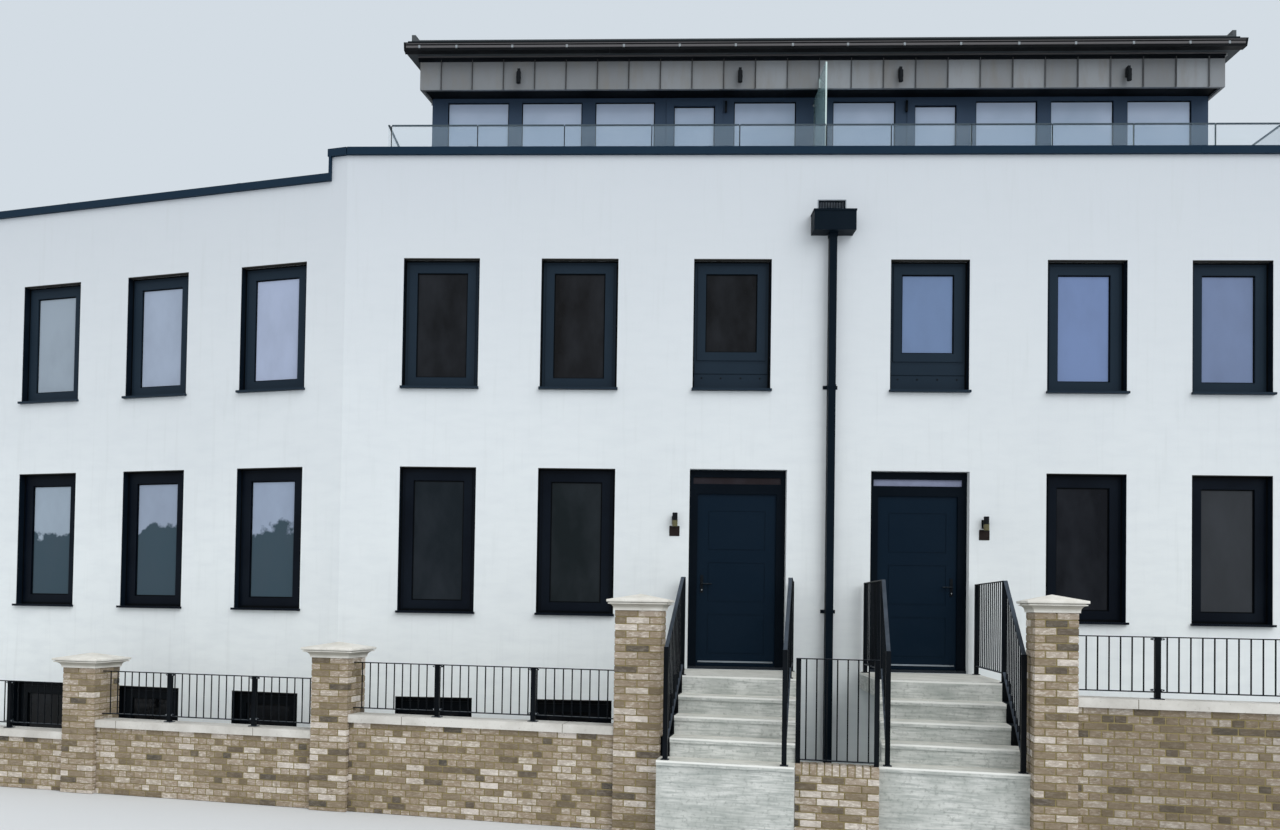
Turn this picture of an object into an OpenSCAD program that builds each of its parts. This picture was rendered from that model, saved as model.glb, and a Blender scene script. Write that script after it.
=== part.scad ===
// Terraced house row: two rendered houses and a canted wing, with a set-back
// penthouse storey, front steps, railings and a brick boundary wall.
// Millimetres, +Z up, +X to the right seen from the street, +Y into the houses.
// The origin is the centre of the main block's footprint, at the lowest ground.

/* [Main block] */
// Half of the main block's length, from the downpipe to its end
main_half = 6130; // [6000:10:7500]
// Depth of the block, front to rear
main_depth = 8400; // [7600:50:10000]
// Thickness of the outer walls
wall_t = 300; // [250:10:360]
// Depth of the window and door recesses
reveal = 90; // [70:5:160]

/* [Wing] */
// Angle of the wing's front to the main front, in degrees
wing_angle = 14; // [8:0.5:20]
// Length of the wing's front
wing_len = 5850; // [5400:10:6600]
// Distance from the corner to the first wing window
wing_bay_1 = 556; // [450:2:700]
// Distance from the corner to the wing's rear window
rear_bay = 1150; // [1000:10:1400]
// Distance from the corner to the second wing window
wing_bay_2 = 2340; // [2000:10:2500]
// Distance from the corner to the third wing window
wing_bay_3 = 4092; // [3700:2:4200]
// How far the high parapet turns the corner onto the wing
corner_wrap = 220; // [160:10:300]

/* [Storeys] */
// Height of the street at the steps above the lowest ground
street_drop = 600; // [400:10:800]
// Height of one outside step
riser = 198; // [180:1:210]
// Number of outside steps up to each door
risers = 5; // [4:1:6]
// Ground floor to first floor
ground_storey = 2840; // [2700:10:3100]
// First floor to the terrace deck
first_storey = 2910; // [2700:10:3100]
// Thickness of the floors
floor_t = 220; // [150:10:280]
// Thickness of the base slab
base_t = 150; // [100:10:200]

/* [Parapet and coping] */
// Top of the main parapet's coping above the deck
main_parapet = 805; // [600:5:950]
// Top of the wing parapet's coping above the deck
wing_parapet = 496; // [350:2:560]
// Height of the metal coping
coping_h = 95; // [60:5:120]
// How far the coping stands out from the wall
coping_out = 45; // [25:5:60]

/* [Windows] */
// Width of a window opening
win_w = 970; // [850:10:1000]
// Window opening's bottom above its floor
win_sill = 640; // [550:10:800]
// Ground floor window opening's top above its floor
ground_head = 2490; // [2200:10:2500]
// First floor window opening's top above its floor
first_head = 2305; // [2100:5:2450]
// Lower ground window opening's bottom above the lowest ground
lower_sill = 300; // [220:10:450]
// Lower ground window opening's top above the lowest ground
lower_head = 1177; // [1000:1:1200]
// Inner edge of the first window from the downpipe
bay_1 = 738; // [600:2:850]
// Inner edge of the second window from the downpipe
bay_2 = 2657; // [2450:1:2800]
// Inner edge of the third window from the downpipe
bay_3 = 4411; // [4000:1:4500]
// Face width of the outer window frame
frame_w = 70; // [50:1:85]
// Face width of the opening sash
sash_w = 92; // [70:1:110]
// Height of the frame's bottom member
frame_bottom = 45; // [30:1:70]
// Depth of the frame, front to back
frame_d = 80; // [60:1:95]
// How far the sash stands in front of the frame
sash_out = 12; // [6:1:16]
// Thickness of the sealed glass
glass_t = 28; // [20:1:36]
// Height of the closed panel under the windows over the doors
panel_h = 345; // [250:5:420]
// Thickness of the metal window sill
sill_t = 28; // [18:1:40]
// How far the sill stands out from the wall
sill_out = 56; // [30:1:70]
// How far the sill runs past the opening on each side
sill_side = 12; // [5:1:50]

/* [Front doors] */
// Inner edge of the door opening from the downpipe
door_in = 518; // [450:2:600]
// Width of the door opening
door_w = 1207; // [1150:1:1230]
// Height of the door opening above the ground floor
door_h = 2500; // [2350:10:2560]
// Face width of the door's jambs
jamb_w = 100; // [80:1:110]
// Depth of the door frame
jamb_d = 85; // [70:1:95]
// Height of the threshold
threshold_h = 32; // [20:1:45]
// Height of the frame's top member
door_top = 92; // [60:1:110]
// Height of the narrow light over the door
light_h = 85; // [60:1:140]
// Height of the bar between the light and the door
transom_h = 112; // [80:1:130]
// Thickness of the door leaf
leaf_t = 60; // [44:1:66]
// Clear gap round the leaf
leaf_gap = 5; // [5:0.5:8]
// Depth of the stop that the leaf closes behind
stop_d = 20; // [12:1:24]
// How far the stop stands into the opening
stop_w = 12; // [8:1:20]
// Height of the lever handle above the ground floor
lever_z = 1065; // [950:5:1150]
// Radius of the hinge barrels
barrel_r = 8; // [6:0.5:11]
// Radius of the hinge pins
pin_r = 4; // [3:0.5:5]
// Play between a pin and its barrel
pin_play = 0.06; // [0.02:0.01:0.1]
// Height of one hinge
hinge_h = 102; // [80:1:130]

/* [Penthouse] */
// Distance from the block's end to the penthouse's side
pent_in = 850; // [700:10:1100]
// Half width of the wall between the two penthouses
pent_mid = 250; // [180:2:320]
// Width of the glass next to that wall
pent_glass_1 = 850; // [700:2:900]
// Width of the glass in a penthouse door
pent_door = 564; // [500:2:620]
// Width of the glass past the door
pent_glass_2 = 825; // [700:2:900]
// Width of the next glass
pent_glass_3 = 840; // [700:2:900]
// Width of the posts beside the door, with its sash
pent_stile = 260; // [220:2:300]
// Width of the other posts
pent_post = 180; // [140:2:220]
// Depth of the posts
post_t = 80; // [60:1:100]
// Set-back of the penthouse glazing from the main front
pent_front = 1200; // [1000:10:1500]
// Set-back of the penthouse from the rear
pent_rear = 1200; // [900:10:1500]
// Clear height from the deck to the eaves soffit
pent_h = 2050; // [1950:10:2200]
// Thickness of the penthouse side and rear walls
pent_wall = 220; // [150:10:260]
// Overhang of the fascia in front of the glazing
eave_front = 300; // [200:10:420]
// Overhang of the fascia at the sides
eave_side = 45; // [42:1:120]
// Height of the clad fascia
fascia_h = 410; // [320:5:480]
// Height of the trim over the fascia
trim_h = 30; // [15:1:50]
// How far the fascia hangs below the soffit
fascia_drop = 30; // [10:1:60]
// Thickness of the fascia's cladding
fascia_t = 36; // [24:1:40]
// Spacing of the standing seams
seam_pitch = 426; // [360:1:440]
// How far a seam stands out
seam_out = 22; // [12:1:30]
// Roof edge past the fascia
roof_over = 140; // [80:5:220]
// Thickness of the eaves board
roof_t = 70; // [50:5:110]
// How far the upper roof stands in from the eaves board's sides
roof_in = 80; // [50:5:120]
// Height of the upper roof over the eaves board
roof_up = 100; // [70:5:140]
// Height of the kerb along the roof's sides and rear
kerb_h = 70; // [40:5:110]
// Width of that kerb
kerb_w = 50; // [40:2:80]
// Width of the eaves gutter
gutter_w = 125; // [100:1:150]
// Height of the eaves gutter
gutter_h = 95; // [80:1:120]
// Wall of the gutter
gutter_t = 8; // [5:1:12]
// How far the gutter's front leans out
gutter_lean = 28; // [10:1:40]
// Number of gutter lengths
gutter_parts = 4; // [3:1:6]
// Joint between two gutter lengths
gutter_joint = 3; // [2:1:6]

/* [Balustrade] */
// Top of the glass above the deck
glass_rail_h = 1290; // [1100:10:1400]
// Gap between the parapet's coping and the channel
rail_gap = 22; // [10:1:60]
// Thickness of the glass
glass_rail_t = 20; // [15:1:26]
// Height of the channel that holds the glass
shoe_h = 120; // [90:5:160]
// Width of the channel that holds the glass
shoe_w = 66; // [50:1:80]
// Gap between the coping and the balustrade's left end
rail_gap_left = 318; // [200:2:450]
// Gap between the coping and the balustrade's right end
rail_gap_right = 5; // [3:1:60]
// Width of a left glass panel
pane_left = 1138; // [900:1:1300]
// Width of a right glass panel
pane_right = 1020; // [900:1:1300]
// Width of the right panel next to the privacy screen
pane_first = 830; // [600:5:1000]
// Joint between glass panels
pane_gap = 12; // [8:1:20]
// Top of the privacy screen above the deck
screen_h = 2130; // [1700:10:2400]
// Gap between the privacy screen and the eaves that it passes
screen_gap = 8; // [5:1:20]

/* [Rainwater] */
// Width of the hopper head
hopper_w = 515; // [420:5:600]
// Height of the hopper head
hopper_h = 260; // [220:5:340]
// How far the hopper stands out from the wall
hopper_d = 210; // [170:5:260]
// Top of the hopper below the deck
hopper_drop = 50; // [20:2:120]
// Width of the terrace's outlet over the hopper
outlet_w = 330; // [250:5:380]
// Top of the outlet above the deck
outlet_top = 134; // [90:2:180]
// Bars in the outlet
outlet_bars = 8; // [5:1:12]
// Wall of the hopper
hopper_t = 12; // [8:1:16]
// Side of the square downpipe
pipe_w = 90; // [70:1:110]
// Gap between the downpipe and the wall
pipe_gap = 30; // [20:1:50]
// Height of the upper pipe bracket above the first floor
bracket_up = 690; // [500:5:900]
// Height of the lower pipe bracket above the ground floor
bracket_low = 742; // [500:2:900]

/* [Steps] */
// Angle of the street line to the main front, in degrees
street_angle = 12; // [8:0.5:15]
// Distance from the main front to the piers' faces, at the downpipe
street_gap = 2619; // [2500:1:3000]
// Depth of one tread
going = 290; // [270:1:310]
// How far the left bottom step stands past the piers' faces
left_out = 204; // [150:1:260]
// How far the right bottom step stands behind the piers' faces
right_in = 151; // [100:1:200]
// Width of the left flight
left_w = 1369; // [1320:1:1400]
// Left flight's left side from the downpipe, along the street
left_x = -2209; // [-2240:1:-2180]
// Right flight's left side from the downpipe, along the street
right_x = 10; // [-10:5:30]
// How far the right bottom step stands out to the left of its flight
step_past = 40; // [20:5:60]
// Tread's nosing past the riser below
nosing = 20; // [10:1:30]
// Thickness of a tread
tread_t = 50; // [35:1:60]
// Thickness of the bed between the top tread and the landing
bed = 0.3; // [0.1:0.1:0.8]
// Landing's side from the railing's line at the wall
landing_past = 55; // [45:1:70]

/* [Boundary wall] */
// Width of a pier
pier_w = 450; // [400:5:480]
// Width of the pier beside the left steps
pier_wide = 490; // [460:5:560]
// Width of the pier beside the right steps
pier_slim = 385; // [360:5:450]
// Depth of the pier beside the left steps
pier_flat = 330; // [320:5:335]
// Centre of the far left pier along the street
pier_1 = -9290; // [-9400:5:-9200]
// Centre of the left pier along the street
pier_2 = -5968; // [-6050:2:-5900]
// Centre of the right pier along the street
pier_4 = 1559; // [1540:1:1600]
// Centre of the end pier along the street
pier_5 = 5830; // [5600:10:6000]
// Left end of the wall along the street
wall_end = -11900; // [-12300:20:-11500]
// Height of the far left pier above the steps' street
pier_1_h = 905; // [800:5:1000]
// Height of the left pier above the steps' street
pier_2_h = 1118; // [1000:2:1250]
// Height of the pier beside the left steps above the street
pier_3_h = 1709; // [1600:1:1850]
// Height of the right piers above the steps' street
pier_4_h = 1752; // [1600:2:1850]
// Thickness of the brick wall
brick_t = 215; // [200:1:330]
// Top of the far left wall above the steps' street
top_1 = 30; // [-50:5:100]
// Top of the left wall above the steps' street
top_2 = 197; // [100:1:300]
// Top of the middle wall above the steps' street
top_3 = 400; // [300:5:500]
// Top of the right wall above the steps' street
top_4 = 870; // [750:5:950]
// Top of the low wall between the steps above the street
kerb_top = 200; // [150:5:240]
// Height of the stone coping
stone_h = 88; // [60:1:110]
// How far the stone coping stands out
stone_out = 35; // [20:1:50]
// How far a pier cap stands out
cap_out = 90; // [70:1:110]
// How far the caps of the piers beside the steps stand out
gate_cap_out = 77; // [60:1:100]
// Height of a pier cap's straight edge
cap_edge = 28; // [20:1:45]
// Height of a pier cap's moulding under the edge
cap_mould = 84; // [60:1:100]
// Rise of a pier cap's pyramid
cap_rise = 64; // [50:1:90]

/* [Railings] */
// Width of a flat rail
rail_w = 40; // [30:1:50]
// Thickness of a flat rail
rail_t = 10; // [8:1:14]
// Diameter of a railing bar
bar_d = 14; // [10:1:18]
// Spacing of the railing bars
bar_pitch = 98; // [85:1:115]
// Side of a railing post
post_w = 48; // [40:1:60]
// Top rail above the wall's coping
rail_top = 585; // [500:5:700]
// Bottom rail above the wall's coping
rail_low = 62; // [40:1:90]
// Top rail of the kerb's railing above the kerb
kerb_rail = 1055; // [900:5:1150]
// Bottom rail of the kerb's railing above the kerb
kerb_rail_low = 30; // [20:1:60]
// Stair handrail above the nosings
hand_h = 1105; // [950:5:1150]
// Stair lower rail above the nosings
hand_low = 120; // [80:5:160]
// Left flight's left railing from its edge
hand_out_l = 84; // [60:1:110]
// Right flight's right railing from its edge
hand_out_r = 56; // [41:1:70]
// Left flight's right railing from its edge
hand_mid_l = 100; // [60:5:110]
// Right flight's left railing from its edge
hand_mid_r = 45; // [41:1:60]
// Railing's end beside the door's opening
rail_beside = 70; // [60:2:100]
// Railing's end from the wall
rail_off = 60; // [50:5:80]
// Side of a post's base plate
plate_w = 80; // [70:2:82]
// Thickness of a post's base plate
plate_t = 8; // [5:1:12]

/* [Lights] */
// Distance from a door's opening to the light beside it
lamp_out = 182; // [120:2:260]
// Foot of the door light above the ground floor
lamp_z = 1760; // [1500:10:1900]
// Length of the door light
lamp_h = 180; // [140:2:240]
// Radius of the lights
lamp_r = 32; // [24:1:40]
// Foot of the fascia lights above the fascia's lower edge
spot_z = 55; // [30:1:120]
// Length of the fascia lights
spot_h = 150; // [110:2:200]

/* [Hidden] */
eps = 1;
// Clearance where two faces meet at an angle
skew_fit = 0.3;
front_y = -main_depth / 2;
ground_z = street_drop + riser * risers;
first_z = ground_z + ground_storey;
deck_z = first_z + first_storey;
door_head_z = ground_z + door_h;
main_top = deck_z + main_parapet - coping_h;
wing_top = deck_z + wing_parapet - coping_h;
mitre = wall_t * tan(wing_angle / 2);
bays = [bay_1, bay_2, bay_3];
wing_bays = [wing_bay_1, wing_bay_2, wing_bay_3];
win_colour = "#2b3036";
render_colour = "#e9ebea";

// A point of the wing, from its own front line, in the main front's frame
function wing_pt(x, y) = [-main_half + x * cos(wing_angle) + y * sin(wing_angle),
    -x * sin(wing_angle) + y * cos(wing_angle)];
// The point on the wing's cross line x that lies at a given depth
function wing_back(x, depth) =
    wing_pt(x, (depth + x * sin(wing_angle)) / cos(wing_angle));

module at_front() { translate([0, front_y, 0]) children(); }
module at_wing() {
    translate([-main_half, front_y, 0]) rotate([0, 0, -wing_angle]) children();
}
module at_street() {
    translate([0, front_y - street_gap, 0]) rotate([0, 0, -street_angle]) children();
}
module mirrored() {
    children();
    mirror([1, 0, 0]) children();
}
// A box from one corner to the other
module slab(a, b) { translate(a) cube([b[0] - a[0], b[1] - a[1], b[2] - a[2]]); }

/* Openings: x is the left edge, in a front's own frame */
main_windows = [for (b = bays) for (s = [-1, 1]) s < 0 ? -b - win_w : b];
wing_windows = [for (b = wing_bays) -b - win_w];
low_windows = [for (b = [bay_2, bay_3]) for (s = [-1, 1]) s < 0 ? -b - win_w : b];
storeys = [[ground_z + win_sill, ground_z + ground_head],
    [first_z + win_sill, first_z + first_head]];
low_storey = [lower_sill, lower_head];

module holes(xs, zz) {
    for (x = xs) slab([x, -eps, zz[0]], [x + win_w, wall_t + eps, zz[1]]);
}
module front_plan() {
    polygon([[-main_half, 0], [main_half, 0], [main_half, wall_t],
        [-main_half + mitre, wall_t]]);
}
// The clear floor shape inside the outer walls
module inside_plan() {
    polygon([[main_half - wall_t, wall_t], [main_half - wall_t, main_depth - wall_t],
        wing_back(-wing_len + wall_t + skew_fit, main_depth - wall_t),
        wing_pt(-wing_len + wall_t + skew_fit, wall_t + skew_fit),
        wing_pt(-mitre, wall_t + skew_fit)]);
}
module floor_slab(top, t) {
    at_front() translate([0, 0, top - t]) linear_extrude(t) inside_plan();
}

/* Walls */
module base_slab() { color("#8d8f8e") floor_slab(base_t, base_t); }
module lower_ground_wall() {
    color(render_colour) at_front() difference() {
        linear_extrude(ground_z) front_plan();
        holes(low_windows, low_storey);
    }
}
door_out = door_in + door_w;
// Only the bays beside the doors have a ground floor window
module ground_wall_left() {
    color(render_colour) ground_side(-main_half - eps, -door_out);
}
module ground_wall_right() {
    color(render_colour) ground_side(door_out, main_half + eps);
}
module ground_side(x0, x1) {
    at_front() difference() {
        intersection() {
            translate([0, 0, ground_z]) linear_extrude(door_h) front_plan();
            slab([x0, -eps, 0], [x1, wall_t + eps, deck_z]);
        }
        holes(low_windows, storeys[0]);
    }
}
module ground_wall_centre() {
    color(render_colour) at_front()
        slab([-door_in, 0, ground_z], [door_in, wall_t, door_head_z]);
}
module upper_front_wall() {
    color(render_colour) at_front() difference() {
        translate([0, 0, door_head_z]) linear_extrude(main_top - door_head_z)
            front_plan();
        holes(main_windows, storeys[1]);
        slab([-outlet_w / 2, -eps, hopper_top], [outlet_w / 2, wall_t + eps,
            deck_z + outlet_top]);
    }
}
module wing_wall() {
    color(render_colour) at_wing() difference() {
        union() {
            linear_extrude(wing_top) polygon([[-wing_len, 0], [0, 0],
                [-mitre, wall_t], [-wing_len, wall_t]]);
            linear_extrude(main_top) polygon([[-corner_wrap, 0], [0, 0],
                [-mitre, wall_t], [-corner_wrap, wall_t]]);
        }
        holes(wing_windows, storeys[0]);
        holes(wing_windows, storeys[1]);
        holes(wing_windows, low_storey);
    }
}
module wing_end_wall() {
    back = main_depth - wall_t;
    color("#b9a58c") at_front() linear_extrude(wing_top)
        polygon([wing_pt(-wing_len, wall_t + skew_fit),
            wing_pt(-wing_len + wall_t, wall_t + skew_fit),
            wing_back(-wing_len + wall_t, back), wing_back(-wing_len, back)]);
}
module right_party_wall() {
    color("#b9a58c") at_front()
        slab([main_half - wall_t, wall_t, 0], [main_half, main_depth - wall_t, main_top]);
}
// Rear windows line up with the main front's, and two serve the wing
rear_step = -main_half + mitre - corner_wrap;
rear_windows = concat(main_windows, [-main_half - win_w - rear_bay]);
module rear_wall() {
    color(render_colour) at_front() difference() {
        union() {
            linear_extrude(wing_top)
                polygon([wing_back(-wing_len, main_depth), [main_half, main_depth],
                    [main_half, main_depth - wall_t],
                    wing_back(-wing_len, main_depth - wall_t)]);
            slab([rear_step, main_depth - wall_t, 0], [main_half, main_depth, main_top]);
        }
        translate([0, main_depth - wall_t, 0]) {
            holes(rear_windows, storeys[0]);
            holes(rear_windows, storeys[1]);
        }
    }
}
module ground_floor() { color("#a9abaa") floor_slab(ground_z, floor_t); }
module first_floor() { color("#a9abaa") floor_slab(first_z, floor_t); }
module roof_deck() { color("#7e8182") floor_slab(deck_z, floor_t); }
module roof_party_parapet() {
    back = main_depth - wall_t;
    color(render_colour) at_front() translate([0, 0, deck_z])
        linear_extrude(main_top - deck_z)
        polygon([wing_pt(-corner_wrap, wall_t + skew_fit),
            wing_pt(-mitre, wall_t + skew_fit), [-main_half + mitre, back],
            [rear_step, back]]);
}
// Metal copings over every parapet, folded down a little at the edges
module parapet_copings() {
    c = coping_out;
    back = main_depth;
    color(win_colour) {
        at_front() translate([0, 0, main_top]) linear_extrude(coping_h) {
            polygon([[-main_half, -c], [main_half + c, -c], [main_half + c, wall_t + c],
                [-main_half + mitre, wall_t + c], [-main_half, wall_t]]);
            polygon([[main_half - wall_t - c, wall_t], [main_half + c, wall_t],
                [main_half + c, back + c], [main_half - wall_t - c, back + c]]);
            polygon([[rear_step - c, back - wall_t - c], [main_half, back - wall_t - c],
                [main_half, back + c], [rear_step - c, back + c]]);
            polygon([wing_pt(-corner_wrap - c, wall_t), wing_pt(-mitre + c, wall_t - eps),
                [-main_half + mitre + c, back - wall_t], [rear_step - c, back - wall_t]]);
        }
        at_wing() slab([-corner_wrap - c, -c, main_top],
            [0, wall_t + c, main_top + coping_h]);
        at_wing() {
            slab([-wing_len - c, -c, wing_top],
                [-corner_wrap - skew_fit, wall_t, wing_top + coping_h]);
            slab([-wing_len - c, wall_t - eps, wing_top],
                [-corner_wrap - c, wall_t + c, wing_top + coping_h]);
            slab([-corner_wrap - 28, -c, wing_top + coping_h],
                [-corner_wrap - skew_fit, wall_t, main_top]);
        }
        at_front() translate([0, 0, wing_top]) linear_extrude(coping_h) {
            polygon([wing_pt(-wing_len - c, wall_t), wing_pt(-wing_len + wall_t + c, wall_t),
                wing_back(-wing_len + wall_t + c, back + c),
                wing_back(-wing_len - c, back + c)]);
            polygon([wing_back(-wing_len - c, back + c), [rear_step, back + c],
                [rear_step, back - wall_t - c],
                wing_back(-wing_len - c, back - wall_t - c)]);
        }
    }
}

/* Windows */
// A ring from outside to inside, standing in the XZ plane
module ring(a, b, side, top, bottom, y0, y1) {
    difference() {
        slab([a[0], y0, a[1]], [b[0], y1, b[1]]);
        slab([a[0] + side, y0 - eps, a[1] + bottom],
            [b[0] - side, y1 + eps, b[1] - top]);
    }
}
// One fixed frame and its sash, x from 0 and z from the sill's top
module window_frame(h, panel = 0) {
    rebate = 12;
    ring([0, 0], [win_w, h], frame_w, frame_w, panel + frame_bottom,
        reveal + sash_out, reveal + frame_d);
    ring([frame_w - rebate, panel + frame_bottom - rebate],
        [win_w - frame_w + rebate, h - frame_w + rebate],
        sash_w + rebate, sash_w + rebate, sash_w + rebate,
        reveal, reveal + frame_d - 14);
    if (panel > 0) {
        slab([frame_w * 0.4, reveal, panel - 135], [win_w - frame_w * 0.4,
            reveal + sash_out, panel - 4]);
        slab([frame_w * 0.4, reveal + sash_out / 2, 30], [win_w - frame_w * 0.4,
            reveal + sash_out, panel - 147]);
    }
}
module window_glass(h, panel = 0) {
    in = frame_w + sash_w;
    slab([in, reveal + 26, panel + frame_bottom + sash_w],
        [win_w - in, reveal + 26 + glass_t, h - in]);
}
// Places a child in each opening of one storey, on top of its sill
module in_windows(xs, zz) {
    for (x = xs) translate([x, 0, zz[0] + sill_t]) children();
}
function win_h(zz) = zz[1] - zz[0] - sill_t;
over_doors = [-bay_1 - win_w, bay_1];
module front_window_frames() {
    color(win_colour) {
        at_front() {
            in_windows(low_windows, storeys[0]) window_frame(win_h(storeys[0]));
            in_windows(low_windows, storeys[1]) window_frame(win_h(storeys[1]));
            in_windows(low_windows, low_storey) window_frame(win_h(low_storey));
            in_windows(over_doors, storeys[1]) window_frame(win_h(storeys[1]), panel_h);
        }
        at_wing() {
            in_windows(wing_windows, storeys[0]) window_frame(win_h(storeys[0]));
            in_windows(wing_windows, storeys[1]) window_frame(win_h(storeys[1]));
            in_windows(wing_windows, low_storey) window_frame(win_h(low_storey));
        }
    }
}
module front_window_glass() {
    color([0.35, 0.4, 0.45, 0.5]) {
        at_front() {
            in_windows(low_windows, storeys[0]) window_glass(win_h(storeys[0]));
            in_windows(low_windows, storeys[1]) window_glass(win_h(storeys[1]));
            in_windows(low_windows, low_storey) window_glass(win_h(low_storey));
            in_windows(over_doors, storeys[1]) window_glass(win_h(storeys[1]), panel_h);
        }
        at_wing() {
            in_windows(wing_windows, storeys[0]) window_glass(win_h(storeys[0]));
            in_windows(wing_windows, storeys[1]) window_glass(win_h(storeys[1]));
            in_windows(wing_windows, low_storey) window_glass(win_h(low_storey));
        }
    }
}
// The rear's windows are the same, turned to face the other way
module at_rear() {
    translate([0, front_y + main_depth, 0]) mirror([0, 1, 0]) children();
}
module rear_window_frames() {
    color(win_colour) at_rear() for (s = storeys)
        in_windows(rear_windows, s) window_frame(win_h(s));
}
module rear_window_glass() {
    color([0.35, 0.4, 0.45, 0.5]) at_rear() for (s = storeys)
        in_windows(rear_windows, s) window_glass(win_h(s));
}
module sill() {
    slab([0, -eps, 0], [win_w, reveal + frame_d, sill_t]);
    slab([-sill_side, -sill_out, 0], [win_w + sill_side, 0, sill_t]);
}
module window_sills() {
    color(win_colour) {
        at_front() {
            for (s = storeys) for (x = low_windows) translate([x, 0, s[0]]) sill();
            for (x = low_windows) translate([x, 0, low_storey[0]]) sill();
            for (x = over_doors) translate([x, 0, storeys[1][0]]) sill();
        }
        at_wing() for (s = concat(storeys, [low_storey])) for (x = wing_windows)
            translate([x, 0, s[0]]) sill();
        at_rear() for (s = storeys) for (x = rear_windows)
            translate([x, 0, s[0]]) sill();
    }
}

/* Front doors: the right one is the left one mirrored about the downpipe */
clear_x0 = door_in + jamb_w;
clear_x1 = door_out - jamb_w;
clear_z1 = door_head_z - door_top - light_h - transom_h;
leaf_z0 = ground_z + threshold_h + leaf_gap;
leaf_z1 = clear_z1 - leaf_gap;
leaf_y0 = reveal + stop_d + leaf_gap;
leaf_y1 = leaf_y0 + leaf_t;
axis_x = clear_x0 + leaf_gap / 2;
axis_y = leaf_y1 + barrel_r;
hinge_zs = [leaf_z0 + 230, (leaf_z0 + leaf_z1) / 2, leaf_z1 - 230];
module door_jambs() {
    color(win_colour) at_front() mirrored() {
        for (x = [[door_in, clear_x0], [clear_x1, door_out]])
            slab([x[0], reveal, ground_z + threshold_h], [x[1], leaf_y1, clear_z1]);
        slab([clear_x0 - eps, reveal, ground_z + threshold_h],
            [clear_x0 + stop_w, reveal + stop_d, clear_z1]);
        slab([clear_x1 - stop_w, reveal, ground_z + threshold_h],
            [clear_x1 + eps, reveal + stop_d, clear_z1]);
    }
}
module door_heads() {
    color(win_colour) at_front() mirrored() {
        ring([door_in, clear_z1], [door_out, door_head_z], 55, door_top,
            transom_h, reveal, leaf_y1);
        slab([clear_x0 + stop_w, reveal, clear_z1 - stop_w],
            [clear_x1 - stop_w, reveal + stop_d, clear_z1 + eps]);
    }
}
module door_thresholds() {
    color("#9a9c9e") at_front() mirrored()
        slab([door_in, reveal - 20, ground_z], [door_out, leaf_y1, ground_z + threshold_h]);
}
module transom_glass() {
    color([0.35, 0.4, 0.45, 0.5]) at_front() mirrored()
        slab([door_in + 55, reveal + 30, clear_z1 + transom_h],
            [door_out - 55, reveal + 30 + glass_t, door_head_z - door_top]);
}
// Fixed halves of the hinges, each with its pin
module door_hinges() {
    part = hinge_h / 3;
    color("#b8bcc0") at_front() mirrored() for (z = hinge_zs) {
        for (k = [0, 2]) translate([axis_x, axis_y, z - hinge_h / 2 + k * part]) {
            cylinder(h = part, r = barrel_r, $fn = 32);
            slab([-32, -barrel_r, 0], [0, -barrel_r + 3, part]);
        }
        translate([axis_x, axis_y, z - hinge_h / 2])
            cylinder(h = hinge_h, r = pin_r, $fn = 32);
    }
}
// The leaf with its raised border and six shallow panels
module leaf() {
    w = clear_x1 - clear_x0 - 2 * leaf_gap;
    x0 = clear_x0 + leaf_gap;
    h = leaf_z1 - leaf_z0;
    groove = 5;
    rows = [[0.07, 0.3], [0.37, 0.6], [0.67, 0.9]];
    difference() {
        slab([x0, leaf_y0, leaf_z0], [x0 + w, leaf_y1, leaf_z1]);
        for (r = rows) translate([x0, leaf_y0, leaf_z0 + h * r[0]]) difference() {
            slab([w * 0.14, -eps, 0], [w * 0.86, groove, h * (r[1] - r[0])]);
            slab([w * 0.14 + 14, -2 * eps, 14],
                [w * 0.86 - 14, groove + eps, h * (r[1] - r[0]) - 14]);
        }
    }
    slab([x0 + 25, leaf_y0 - 3, leaf_z0 + 12], [x0 + w - 25, leaf_y0, leaf_z0 + 40]);
}
// Lever handles on both faces, the lock's rose and the moving hinge barrels
module fittings() {
    x = clear_x1 - leaf_gap - 72;
    z = ground_z + lever_z;
    part = hinge_h / 3;
    for (f = [[leaf_y0, -1], [leaf_y1, 1]]) translate([x, f[0], z]) {
        slab([-17, f[1] < 0 ? -9 : 0, -110], [17, f[1] < 0 ? 0 : 9, 110]);
        rotate([f[1] < 0 ? 90 : -90, 0, 0]) cylinder(h = 52, r = 9, $fn = 24);
        translate([9, f[1] * 44, 0]) rotate([0, -90, 0])
            cylinder(h = 130, r = 9, $fn = 24);
        translate([0, 0, -75]) rotate([f[1] < 0 ? 90 : -90, 0, 0])
            cylinder(h = 14, r = 12, $fn = 24);
    }
    for (z2 = hinge_zs) translate([axis_x, axis_y, z2 - part / 2 + 0.5]) difference() {
        union() {
            cylinder(h = part - 1, r = barrel_r, $fn = 32);
            slab([0, -barrel_r, 0], [34, -barrel_r + 3, part - 1]);
        }
        translate([0, 0, -eps]) cylinder(h = part + 2, r = pin_r + pin_play, $fn = 32);
    }
}
module left_door() {
    color("#232a31") at_front() mirror([1, 0, 0]) leaf();
}
module right_door() { color("#232a31") at_front() leaf(); }
module left_door_fittings() {
    color("#4a4e52") at_front() mirror([1, 0, 0]) fittings();
}
module right_door_fittings() { color("#4a4e52") at_front() fittings(); }

/* Penthouse: its left side is square to the wing's front */
pent_half = main_half - pent_in;
soffit_z = deck_z + pent_h;
fascia_z0 = soffit_z - fascia_drop;
fascia_z1 = fascia_z0 + fascia_h;
roof_z0 = fascia_z1 + trim_h;
eave_y = pent_front - eave_front;
pent_back = main_depth - pent_rear;
roof_y = eave_y - roof_over;
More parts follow.
